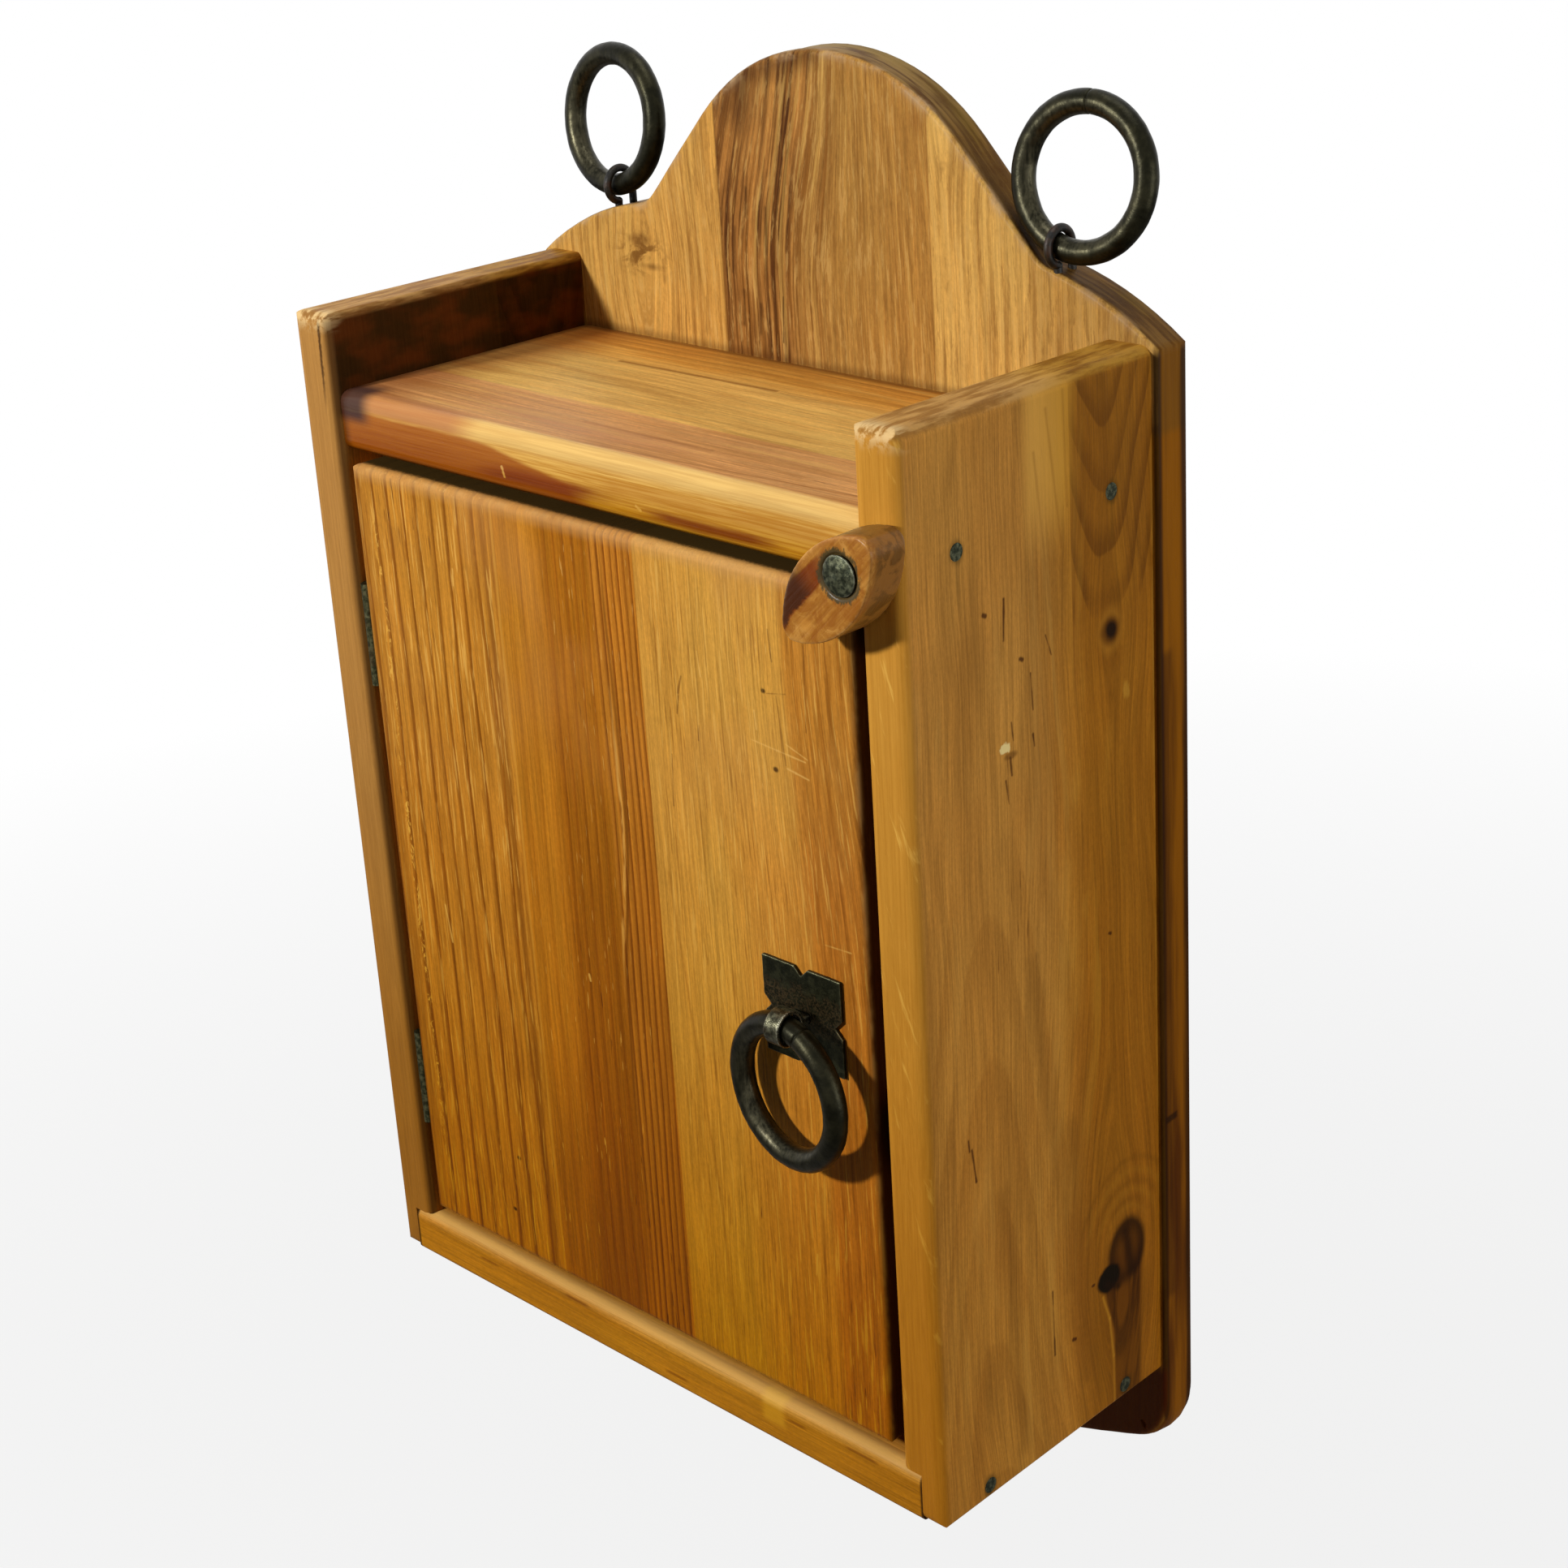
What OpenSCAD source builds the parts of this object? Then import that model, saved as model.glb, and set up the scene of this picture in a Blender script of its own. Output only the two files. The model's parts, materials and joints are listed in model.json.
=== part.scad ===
// Hanging wall cabinet of edge-glued pine: an open tray over a single inset door, a back board with
// a bell-shaped crest, two forged hanging rings, a ring pull and a wooden turn button.
//
// Millimetres. X runs to the right and Z up. The wall is the plane y = 0, the front looks along -Y,
// and the underside of the box is z = 0. The tail of the back board hangs below it.

/* [Box] */
// Width over the two sides
box_w = 280; // [220:1:360]
// Height of the sides
box_h = 370; // [330:1:480]
// Depth of the sides, without the back board
box_d = 116; // [95:1:170]
// Thickness of each side
side_t = 18; // [15:0.5:24]
// Thickness of the bottom board
bottom_t = 18; // [14:0.5:24]
// How far the bottom board's ends are let into the sides
rebate = 9; // [5:0.5:12]
// Rounding of the front edges of the box
edge_r = 4; // [1:0.5:5]
// Rounding of the left side's worn lower corner
heel_left_r = 4; // [2:0.5:5]
// Rounding of the right side's lower corner
heel_right_r = 2; // [1:0.5:4]

/* [Tray] */
// Thickness of the top shelf
shelf_t = 21; // [16:0.5:28]
// Height of the sides over the shelf
tray_h = 27; // [15:1:45]
// How far the shelf's front edge stands behind the sides
shelf_in = 3; // [0:0.5:8]

/* [Back board] */
// How far the back board stands out beyond each side
back_over = 2.5; // [0:0.5:6]
// Thickness of the back board
back_t = 15; // [12:0.5:22]
// Height of the crest over the sides
crest_h = 81; // [72:1:110]
// Distance of the crest's right foot from the board's edge, level with the sides' tops
crest_in = 27.2; // [26:0.1:36]
// Slope of the crest's straight flanks
crest_slope = 47; // [42:1:52]
// How far the crest sits to the right of the middle
crest_shift = 5; // [-8:0.5:8]
// Radius of the hollow between flank and shoulder
hollow_r = 12; // [6:1:18]
// Radius of the shoulders
shoulder_r = 118; // [100:1:140]
// Slope of the shoulders where they meet the board's edges
shoulder_slope = 37; // [32:1:42]
// How far below the sides' tops the shoulders end
shoulder_drop = 1; // [0:0.5:6]
// Depth of the tail below the box, in the middle
tail_h = 58; // [40:1:70]
// Radius of the tail's lower edge
tail_r = 350; // [300:10:900]
// Radius of the tail's corners
tail_corner = 12; // [6:1:22]

/* [Door] */
// Thickness of the door
door_t = 15; // [13:0.5:18]
// How far the door's face stands behind the sides' fronts
door_in = 1; // [0:0.25:2.5]
// Gap beside the door on the hinge side
gap_hinge = 3.5; // [3:0.1:4]
// Gap beside the door on the free side
gap_free = 4; // [1.5:0.1:4.5]
// Gap over the door
gap_top = 3.5; // [2:0.1:6]
// Gap under the door
gap_bottom = 4.5; // [2:0.1:7]
// Rounding of the edges of the door's face
door_edge_r = 3; // [1:0.5:4]
// Radius of the door's corners
door_corner = 4; // [2:0.5:8]
// Width, depth and height of the block that stops the door
stop_size = 12; // [8:1:18]
// How far the stop block stands from the cabinet's free side
stop_from_side = 8; // [0:1:40]

/* [Hinges] */
// Length of each butt hinge
hinge_h = 38; // [28:1:50]
// Height of the upper hinge's middle over the box's underside
hinge_upper_z = 255; // [220:1:275]
// Height of the lower hinge's middle over the box's underside
hinge_lower_z = 78; // [60:1:110]
// Width of each leaf, from the pin
leaf_w = 11; // [9:0.5:11.5]
// Thickness of each leaf
leaf_t = 0.9; // [0.6:0.1:1.1]
// Diameter of the knuckles
knuckle_d = 3.6; // [3.2:0.1:3.8]
// Diameter of the hinge pins
hinge_pin_d = 1.9; // [1.4:0.1:2.2]
// How far the hinge pins stand behind the sides' fronts
pin_in = 3; // [2.8:0.1:4]
// Diameter of the hinge screws
screw_d = 1.8; // [1.4:0.1:2.2]
// Length of the hinge screws
screw_l = 8; // [5:0.5:12]

/* [Turn button] */
// Length of the button
button_l = 48; // [42:1:56]
// Width of the button
button_w = 25; // [20:0.5:30]
// Thickness of the button
button_t = 15; // [10:0.5:20]
// Radius of the button's two tips
button_tip = 5; // [3:0.5:7]
// Turn of the button from level, at rest
button_turn = 45; // [30:1:60]
// Distance of the pivot from the button's middle
pivot_off = 8; // [4:0.5:10]
// Distance of the pivot from the side's inner face
pivot_in = 8; // [6.5:0.5:9]
// Depth of the pivot below the top of the sides
pivot_down = 39.5; // [37:0.5:46]
// Diameter of the forged nail's head
pivot_head_d = 13; // [10:0.5:15]
// Diameter of the forged nail's shank
pivot_d = 5; // [4:0.25:6]
// How deep the forged nail goes into the side
pivot_deep = 20; // [12:0.5:20]

/* [Ring pull] */
// Width of the back plate
plate_w = 34; // [28:1:44]
// Height of the back plate
plate_h = 34; // [28:1:44]
// Thickness of the back plate
plate_t = 1.5; // [1:0.25:2.5]
// Depth of the notch in the middle of each edge of the plate
notch = 3; // [1:0.5:5]
// Distance of the plate's middle from the door's free edge
pull_in = 28.5; // [26:0.5:60]
// Height of the plate's middle over the door's lower edge
pull_up = 150; // [80:1:200]
// Width of the strap
strap_w = 6; // [5:0.5:12]
// Thickness of the strap
strap_t = 1.4; // [1:0.1:1.8]
// How far the ring's bar stands out from the door's face
eye_out = 10; // [9:0.5:16]
// Turn of the pull's ring about the upright, as it hangs
pull_turn_angle = -6; // [-6:1:6]
// Length of each clinched end behind the door
clinch_l = 12; // [8:1:18]

/* [Rings] */
// Outer diameter of the three rings
ring_d = 54; // [50:1:60]
// Diameter of their round bar
ring_bar = 8; // [6:0.5:9]

/* [Hanging] */
// Distance of each wire eye from the back board's edge
staple_in = 40; // [34.5:0.5:40.5]
// Diameter of the eyes' wire
wire_d = 2.8; // [2:0.1:2.8]
// Play of the rings' bar in the wire eyes
wire_play = 0.5; // [0.5:0.1:0.7]
// Height of the rings' bar over the shoulder
bar_up = 7.5; // [7.5:0.5:12]
// Distance between each eye's two legs
foot_gap = 7; // [6.5:0.5:7]
// How deep the legs go into the board
foot_deep = 14; // [8:1:25]
// Distance of the left ring's bar from the wall
left_out = 10.5; // [9.5:0.5:12]
// Outward lean of the left ring
left_lean_angle = 9.5; // [0:0.5:20]
// Backward lean of the left ring
left_back_angle = 6.5; // [0:0.5:6.5]
// Turn of the left ring about the upright
left_turn_angle = -4.5; // [-4.5:0.5:4.5]
// Distance of the right ring's bar from the wall
right_out = 12; // [11.5:0.5:12]
// Outward lean of the right ring
right_lean_angle = 18; // [16:1:20]
// Backward lean of the right ring
right_back_angle = 9; // [0:0.5:9]
// Turn of the right ring about the upright
right_turn_angle = 3.5; // [-3.5:0.5:3.5]

/* [Nails] */
// Diameter of the nails
nail_d = 2.4; // [2:0.1:3]
// Diameter of the nails' heads
nail_head_d = 5.5; // [4:0.5:6]
// Thickness of the nails' heads
nail_head_t = 1; // [0.8:0.1:1.5]
// Length of the nails
nail_l = 40; // [30:1:50]
// Distance of the front nails from the sides' fronts
nail_front = 23.5; // [22.5:0.5:35]
// Distance of the rear nails from the back board
nail_rear = 20.5; // [14:0.5:30]
// Height of the shelf's nails over its underside
nail_shelf = 7; // [5:0.5:10]
// Height of the bottom board's nails over its underside
nail_bottom = 5; // [4:0.5:9]
// Distance from the middle of the nails that hold the back board to shelf and bottom
nail_back_x = 60; // [30:1:80]
// Distance between the nails that hold the back board to each side
nail_back_step = 120; // [80:1:130]

/* [Hidden] */

$fn = 64;
through = 1;       // overshoot of a cut past a face
close_fit = 0.05;  // radial clearance of a nail, screw or pin in its hole
run_gap = 0.3;     // clearance of a moving piece beside a fixed one
knuckle_gap = 0.2; // clearance between knuckles, and beside them

// colours
pine = [0.72, 0.46, 0.18];
pine_dark = [0.60, 0.36, 0.13];
pine_light = [0.78, 0.55, 0.26];
iron = [0.16, 0.16, 0.15];
steel = [0.33, 0.32, 0.30];

// box
front_y = -back_t - box_d;
inner_x = box_w / 2 - side_t;
shelf_z = box_h - tray_h - shelf_t;
nail_mid_x = box_w / 2 - side_t / 2;

// door
door_y = front_y + door_in;
door_left = -inner_x + gap_hinge;
door_right = inner_x - gap_free;
door_low = bottom_t + gap_bottom;
door_top = shelf_z - gap_top;

// hinges
pin_x = -inner_x + knuckle_gap + knuckle_d / 2;
pin_y = front_y + pin_in;
leaf_reach = knuckle_gap + knuckle_d / 2;
screw_y = pin_y + leaf_w * 0.6;
screw_rise = hinge_h * 0.3;
hinges = [hinge_lower_z, hinge_upper_z];

// turn button
pivot_x = inner_x + pivot_in;
pivot_z = box_h - pivot_down;
pivot_recess = 1.2;
pivot_head_t = 2;

// pull
pull_x = door_right - pull_in;
pull_z = door_low + pull_up;
eye_play = 0.8;
eye_y = door_y - eye_out;
ring_mean_r = (ring_d - ring_bar) / 2;

// back board: the crest's radius follows from its width, its height and the slope of its flanks
back_w = box_w + 2 * back_over;
crest_reach = (back_w / 2 - crest_in - crest_shift) * sin(crest_slope);
crest_r = (crest_reach - crest_h * cos(crest_slope)) / (1 - cos(crest_slope));
crest_mid = [crest_shift, box_h + crest_h - crest_r];
shoulder_x = back_w / 2 - shoulder_r * sin(shoulder_slope);
shoulder_z = box_h - shoulder_drop - shoulder_r * cos(shoulder_slope);
tail_z = tail_r - tail_h;

// wire eyes
staple_x = back_w / 2 - staple_in;
eye_r = ring_bar / 2 + wire_play + wire_d / 2;
staple_z = edge_z(staple_x) + bar_up;

// height of the shoulder's edge at a distance from the middle
function edge_z(x) = shoulder_z + sqrt(shoulder_r ^ 2 - (x - shoulder_x) ^ 2);

// ---- outlines -------------------------------------------------------------------------------

// rectangle from the origin, with corner radii r = [low left, low right, high right, high left]
module plate_outline(size, r) {
    w = size[0];
    h = size[1];
    at = [[0, 0], [w, 0], [w, h], [0, h]];
    difference() {
        square(size);
        for (i = [0 : 3])
            if (r[i] > 0)
                translate(at[i]) rotate(90 * i) difference() {
                    translate([-through, -through]) square(r[i] + through);
                    translate([r[i], r[i]]) circle(r[i]);
                }
    }
}

// a board from its low corner: rounded in plan, seen from the front, and seen from the right
module board(size, plan = [0, 0, 0, 0], face = [0, 0, 0, 0], edge = [0, 0, 0, 0]) {
    intersection() {
        linear_extrude(size[2]) plate_outline([size[0], size[1]], plan);
        if (max(face) > 0)
            translate([0, size[1], 0]) rotate([90, 0, 0])
                linear_extrude(size[1]) plate_outline([size[0], size[2]], face);
        if (max(edge) > 0)
            rotate([90, 0, 90]) linear_extrude(size[0]) plate_outline([size[1], size[2]], edge);
    }
}

// unit vectors down a flank, out of it, and out of the shoulder's end: side is 1 for right, -1 for left
function flank_way(side) = [side * cos(crest_slope), -sin(crest_slope)];
function flank_out(side) = [side * sin(crest_slope), cos(crest_slope)];
function shoulder_out(side) = [side * sin(shoulder_slope), cos(shoulder_slope)];

// middle of the hollow that touches both flank and shoulder from outside
function hollow_mid(side) =
    let (
        start = crest_mid + (crest_r + hollow_r) * flank_out(side),
        from = start - shoulder_mid(side),
        along = from * flank_way(side),
        reach = shoulder_r + hollow_r
    )
    start + flank_way(side) * (-along - sqrt(along ^ 2 - from * from + reach ^ 2));

// unit vector from the shoulder's middle to the hollow's, and from the tail's middle to its corner's
function hollow_way(side) = (hollow_mid(side) - shoulder_mid(side)) / (shoulder_r + hollow_r);
function tail_way(side) = (tail_corner_mid(side) - [0, tail_z]) / (tail_r - tail_corner);

function shoulder_mid(side) = [side * shoulder_x, shoulder_z];
function tail_corner_mid(side) =
    let (x = back_w / 2 - tail_corner)
    [side * x, tail_z - sqrt((tail_r - tail_corner) ^ 2 - x ^ 2)];

// a rounded corner is its circle's middle and radius, and the unit vectors to both ends of its arc
function crest_round() = [crest_mid, crest_r, flank_out(1), flank_out(-1)];
function shoulder_round(side) = [shoulder_mid(side), shoulder_r, shoulder_out(side), hollow_way(side)];
function tail_round() = [[0, tail_z], tail_r, tail_way(-1), tail_way(1)];
function tail_corner_round(side) = [tail_corner_mid(side), tail_corner, tail_way(side), [side, 0]];

// the sharp point where both tangents of a rounded corner meet
function point(c) = c[0] + c[1] * (c[2] + c[3]) / (1 + c[2] * c[3]);

// outline of one half of the back board, upwards
function back_half(side) = [
    point(tail_corner_round(side)),
    shoulder_mid(side) + shoulder_r * shoulder_out(side),
    point(shoulder_round(side)),
    shoulder_mid(side) + shoulder_r * hollow_way(side),
    hollow_mid(side),
    hollow_mid(side) - hollow_r * flank_out(side)
];

// what a rounded corner leaves of its sharp point
module corner_waste(c) {
    translate(c[0]) difference() {
        polygon(1.5 * c[1] * [[0, 0], c[2], c[2] + c[3], c[3]]);
        circle(c[1], $fn = 180);
    }
}

// back board seen from the front
module back_outline() {
    left = back_half(-1);
    difference() {
        polygon([
            point(tail_round()), each back_half(1),
            point(crest_round()), each [for (i = [len(left) - 1 : -1 : 0]) left[i]]
        ]);
        corner_waste(crest_round());
        corner_waste(tail_round());
        for (side = [-1, 1]) {
            corner_waste(shoulder_round(side));
            corner_waste(tail_corner_round(side));
            translate(hollow_mid(side)) circle(hollow_r);
        }
    }
}

// turn button seen from the front, long axis along X, pivot at the origin
module button_outline() {
    reach = button_l / 2 - button_tip;
    half_w = button_w / 2;
    arc_r = (reach ^ 2 + half_w ^ 2 - button_tip ^ 2) / (2 * (half_w - button_tip));
    arc_mid = arc_r - half_w;
    touch_x = reach * arc_r / (arc_r - button_tip);
    translate([-pivot_off, 0]) {
        intersection() {
            translate([0, -arc_mid]) circle(arc_r, $fn = 128);
            translate([0, arc_mid]) circle(arc_r, $fn = 128);
            square([2 * touch_x, button_w + through], center = true);
        }
        for (side = [-1, 1])
            translate([side * reach, 0]) circle(button_tip);
    }
}

// ---- small parts ----------------------------------------------------------------------------

// round rod along +Z
module rod(d, l) {
    cylinder(d = d, h = l);
}

// nail with its head flush at the origin, driven along +Z; grow widens it for its hole
module nail(grow = 0) {
    rod(nail_head_d + 2 * grow, nail_head_t);
    rod(nail_d + 2 * grow, nail_l + grow);
}

// countersunk screw with its head flush at the origin, driven along +Z
module screw(grow = 0) {
    cylinder(r1 = screw_d * 0.95 + grow, r2 = screw_d / 2 + grow, h = leaf_t);
    rod(screw_d + 2 * grow, screw_l + grow);
}

// every nail of one side: side is 1 for right, -1 for left
module side_nails(side, grow = 0) {
    for (y = [front_y + nail_front, -back_t - nail_rear])
        for (z = [nail_bottom, shelf_z + nail_shelf])
            translate([side * (box_w / 2), y, z]) rotate([0, -90 * side, 0]) nail(grow);
}

// nails driven from behind, into the sides, the shelf and the bottom board
module nails_from_behind(grow = 0) {
    middle = (bottom_t + shelf_z) / 2;
    for (side = [-1, 1]) {
        for (step = [-1 : 1])
            translate([side * nail_mid_x, 0, middle + step * nail_back_step])
                rotate([90, 0, 0]) nail(grow);
        for (z = [bottom_t / 2, shelf_z + shelf_t / 2])
            translate([side * nail_back_x, 0, z]) rotate([90, 0, 0]) nail(grow);
    }
}

// screws of both hinges, into the cabinet's side (way -1) or the door's edge (way 1)
module hinge_screws(way, grow = 0) {
    for (z = hinges)
        for (rise = [-screw_rise, screw_rise])
            translate([pin_x + way * (leaf_reach - leaf_t), screw_y, z + rise])
                rotate([0, 90 * way, 0]) screw(grow);
}

// leaf of a hinge with its middle at z: way is -1 for the cabinet's leaf, 1 for the door's leaf
module hinge_leaf(z, way) {
    third = hinge_h / 3;
    knuckles = way < 0 ? [-1, 1] : [0];
    translate([pin_x, pin_y, z]) difference() {
        union() {
            translate([way > 0 ? leaf_reach - leaf_t : -leaf_reach, leaf_reach, -hinge_h / 2])
                cube([leaf_t, leaf_w - leaf_reach, hinge_h]);
            for (k = knuckles) {
                low = k * third - third / 2 + (k > -1 ? knuckle_gap / 2 : 0);
                tall = third - (k == 0 ? knuckle_gap : knuckle_gap / 2);
                translate([0, 0, low]) {
                    rod(knuckle_d, tall);
                    translate([way > 0 ? leaf_reach - leaf_t : -leaf_reach, 0, 0])
                        cube([leaf_t, leaf_reach + leaf_t, tall]);
                }
            }
        }
        translate([0, 0, -hinge_h]) rod(hinge_pin_d + 2 * close_fit, 2 * hinge_h);
        translate([-pin_x, -pin_y, -z]) hinge_screws(way, close_fit);
    }
}

module hinge_pin(z) {
    translate([pin_x, pin_y, z - hinge_h / 2]) rod(hinge_pin_d, hinge_h);
}

// ring of round bar in the XZ plane, its lowest point's bar centred on the origin
module ring() {
    translate([0, 0, ring_mean_r]) rotate([90, 0, 0])
        rotate_extrude() translate([ring_mean_r, 0]) circle(d = ring_bar);
}

// where a ring's bar hangs in its wire eye
function hang_at(side) = [side * staple_x, side > 0 ? -right_out : -left_out, staple_z];

// ring at rest in its wire eye, its top against the wall
module hang_ring(side, out, back, turn) {
    translate(hang_at(side)) rotate([0, 0, turn]) rotate([-back, 0, 0]) rotate([0, side * out, 0]) ring();
}

// distances of the eye's front and rear legs from the ring's bar
function feet() = [eye_r - foot_gap, eye_r];

// wire eye round a ring's bar: straight up at the rear, over the bar, and down again below it
module staple(side) {
    turn = 180 + acos(-feet()[0] / eye_r);
    low = eye_r * sin(turn);
    color(iron) translate(hang_at(side)) {
        rotate([90, 0, 90]) rotate_extrude(angle = turn) translate([eye_r, 0]) circle(d = wire_d);
        for (leg = [[feet()[1], 0], [feet()[0], low]]) {
            translate([0, leg[0], leg[1]]) sphere(d = wire_d * 1.05);
            translate([0, leg[0], -bar_up - foot_deep]) rod(wire_d, bar_up + foot_deep + leg[1]);
        }
    }
}

// holes of both eyes' legs in the back board
module staple_holes() {
    for (side = [-1, 1])
        for (y = feet())
            translate(hang_at(side) + [0, y, -bar_up - foot_deep - close_fit])
                rod(wire_d + 2 * close_fit, foot_deep + bar_up);
}

// ---- cabinet --------------------------------------------------------------------------------

module back_board() {
    color(pine) difference() {
        rotate([90, 0, 0]) linear_extrude(back_t) back_outline();
        nails_from_behind(close_fit);
        staple_holes();
    }
}

// one side, with the rabbet for the bottom board: side is 1 for right, -1 for left
module side_board(side) {
    left = side > 0 ? inner_x : -box_w / 2;
    face = side > 0 ? [0, heel_right_r, edge_r, edge_r / 2] : [heel_left_r, 0, edge_r / 2, edge_r];
    difference() {
        translate([left, front_y, 0])
            board([side_t, box_d, box_h], [edge_r, edge_r, 0, 0], face, [edge_r, 0, 0, edge_r]);
        translate([side > 0 ? inner_x - through : -inner_x - rebate, front_y - through, -through])
            cube([rebate + through, box_d + 2 * through, bottom_t + through]);
        side_nails(side, close_fit);
        nails_from_behind(close_fit);
    }
}

module side_left() {
    color(pine) difference() {
        side_board(-1);
        hinge_screws(-1, close_fit);
    }
}

module side_right() {
    color(pine) difference() {
        side_board(1);
        translate([pivot_x, front_y - through, pivot_z]) rotate([-90, 0, 0])
            rod(pivot_d + 2 * close_fit, pivot_deep + through + close_fit);
    }
}

module top_shelf() {
    color(pine_dark) difference() {
        translate([-inner_x, front_y + shelf_in, shelf_z])
            board([2 * inner_x, box_d - shelf_in, shelf_t], edge = [edge_r, 0, 0, edge_r]);
        for (side = [-1, 1])
            side_nails(side, close_fit);
        nails_from_behind(close_fit);
    }
}

module bottom_board() {
    color(pine_light) difference() {
        translate([-inner_x - rebate, front_y, 0])
            board([2 * (inner_x + rebate), box_d, bottom_t], edge = [edge_r / 2, 0, 0, edge_r]);
        for (side = [-1, 1])
            side_nails(side, close_fit);
        nails_from_behind(close_fit);
    }
}

module door_stop() {
    color(pine_light)
        translate([inner_x - stop_from_side - stop_size, door_y + door_t + run_gap, shelf_z - stop_size])
            cube([stop_size, stop_size, stop_size]);
}

module side_nails_left() { color(iron) side_nails(-1); }

module side_nails_right() { color(iron) side_nails(1); }

module back_nails() { color(iron) nails_from_behind(); }

module frame_leaf_upper() { color(steel) hinge_leaf(hinge_upper_z, -1); }

module frame_leaf_lower() { color(steel) hinge_leaf(hinge_lower_z, -1); }

module hinge_pin_upper() { color(steel) hinge_pin(hinge_upper_z); }

module hinge_pin_lower() { color(steel) hinge_pin(hinge_lower_z); }

module frame_leaf_screws() { color(steel) hinge_screws(-1); }

// forged nail with a low domed head, set into the button
module button_nail() {
    dome = 0.8;
    head_r = pivot_head_d / 2;
    dome_r = (head_r ^ 2 + dome ^ 2) / (2 * dome);
    color(iron) translate([pivot_x, front_y, pivot_z]) rotate([90, 0, 0]) {
        translate([0, 0, -pivot_deep]) rod(pivot_d, pivot_deep + run_gap + button_t - pivot_recess + run_gap);
        translate([0, 0, run_gap + button_t - pivot_recess + run_gap]) {
            rod(pivot_head_d, pivot_head_t - dome);
            translate([0, 0, pivot_head_t - dome]) intersection() {
                rod(pivot_head_d, dome);
                translate([0, 0, dome - dome_r]) sphere(dome_r, $fn = 128);
            }
        }
    }
}

module staple_left() { staple(-1); }

module staple_right() { staple(1); }

// ---- door -----------------------------------------------------------------------------------

module door() {
    w = door_right - door_left;
    h = door_top - door_low;
    corner = [for (i = [0 : 3]) door_corner];
    color(pine) difference() {
        translate([door_left, door_y, door_low])
            board([w, door_t, h], [door_edge_r, door_edge_r, 0, 0], corner, [door_edge_r, 0, 0, door_edge_r]);
        for (z = hinges)
            translate([door_left - through, door_y - through, z - hinge_h / 2 - run_gap])
                cube([pin_x + leaf_reach - door_left + through, pin_y - door_y + leaf_w + run_gap + through,
                      hinge_h + 2 * run_gap]);
        hinge_screws(1, close_fit);
        strap_slot(door_t);
    }
}

module door_leaf_upper() { color(steel) hinge_leaf(hinge_upper_z, 1); }

module door_leaf_lower() { color(steel) hinge_leaf(hinge_lower_z, 1); }

module door_leaf_screws() { color(steel) hinge_screws(1); }

// slot for the strap's two tails, from the door's face back by depth
module strap_slot(depth) {
    translate([pull_x - strap_w / 2 - knuckle_gap, door_y - plate_t - through, pull_z - strap_t - knuckle_gap])
        cube([strap_w + 2 * knuckle_gap, plate_t + depth + 2 * through, 2 * (strap_t + knuckle_gap)]);
}

// square iron plate with a notch in the middle of each edge
module pull_plate() {
    half = [plate_w / 2, plate_h / 2];
    color(iron) difference() {
        translate([pull_x, door_y, pull_z]) rotate([90, 0, 0]) linear_extrude(plate_t) difference() {
            square(2 * half, center = true);
            for (way = [-1, 1]) {
                translate([way * half[0], 0]) rotate(45) square(notch * sqrt(2), center = true);
                translate([0, way * half[1]]) rotate(45) square(notch * sqrt(2), center = true);
            }
        }
        strap_slot(0);
    }
}

// strap folded round the ring's bar, its tails through the plate and door and clinched behind
module pull_strap() {
    inner_r = ring_bar / 2 + eye_play;
    tail_y = door_y + door_t;
    split = knuckle_gap;
    color(steel) translate([pull_x - strap_w / 2, 0, pull_z]) difference() {
        union() {
            translate([0, eye_y, 0]) rotate([0, 90, 0]) rod(2 * (inner_r + strap_t), strap_w);
            translate([0, eye_y, -strap_t]) cube([strap_w, tail_y + strap_t - eye_y, 2 * strap_t]);
            translate([0, tail_y, -clinch_l]) cube([strap_w, strap_t, 2 * clinch_l]);
        }
        translate([-through, eye_y, 0]) rotate([0, 90, 0]) rod(2 * inner_r, strap_w + 2 * through);
        translate([-through, eye_y, -split / 2])
            cube([strap_w + 2 * through, tail_y + strap_t + through - eye_y, split]);
    }
}

// ---- moving pieces --------------------------------------------------------------------------

module turn_button() {
    color(pine_dark) translate([pivot_x, front_y - run_gap, pivot_z]) rotate([90, 0, 0]) difference() {
        linear_extrude(button_t) rotate(button_turn) button_outline();
        translate([0, 0, -through]) rod(pivot_d + 2 * close_fit, button_t + 2 * through);
        translate([0, 0, button_t - pivot_recess]) rod(pivot_head_d + 2 * run_gap, pivot_recess + through);
    }
}

module pull_ring() {
    color(iron) translate([pull_x, eye_y, pull_z]) rotate([180, 0, pull_turn_angle]) ring();
}

module hang_ring_left() { color(iron) hang_ring(-1, left_lean_angle, left_back_angle, left_turn_angle); }

module hang_ring_right() { color(iron) hang_ring(1, right_lean_angle, right_back_angle, right_turn_angle); }

back_board();
side_left();
side_right();
top_shelf();
bottom_board();
door_stop();
side_nails_left();
side_nails_right();
back_nails();
frame_leaf_upper();
frame_leaf_lower();
hinge_pin_upper();
hinge_pin_lower();
frame_leaf_screws();
button_nail();
staple_left();
staple_right();
door();
door_leaf_upper();
door_leaf_lower();
door_leaf_screws();
pull_plate();
pull_strap();
turn_button();
pull_ring();
hang_ring_left();
hang_ring_right();
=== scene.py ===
import json
import math

import bmesh
import bpy
import numpy as np
from mathutils import Matrix, Vector
from mathutils import noise as pattern


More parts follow.
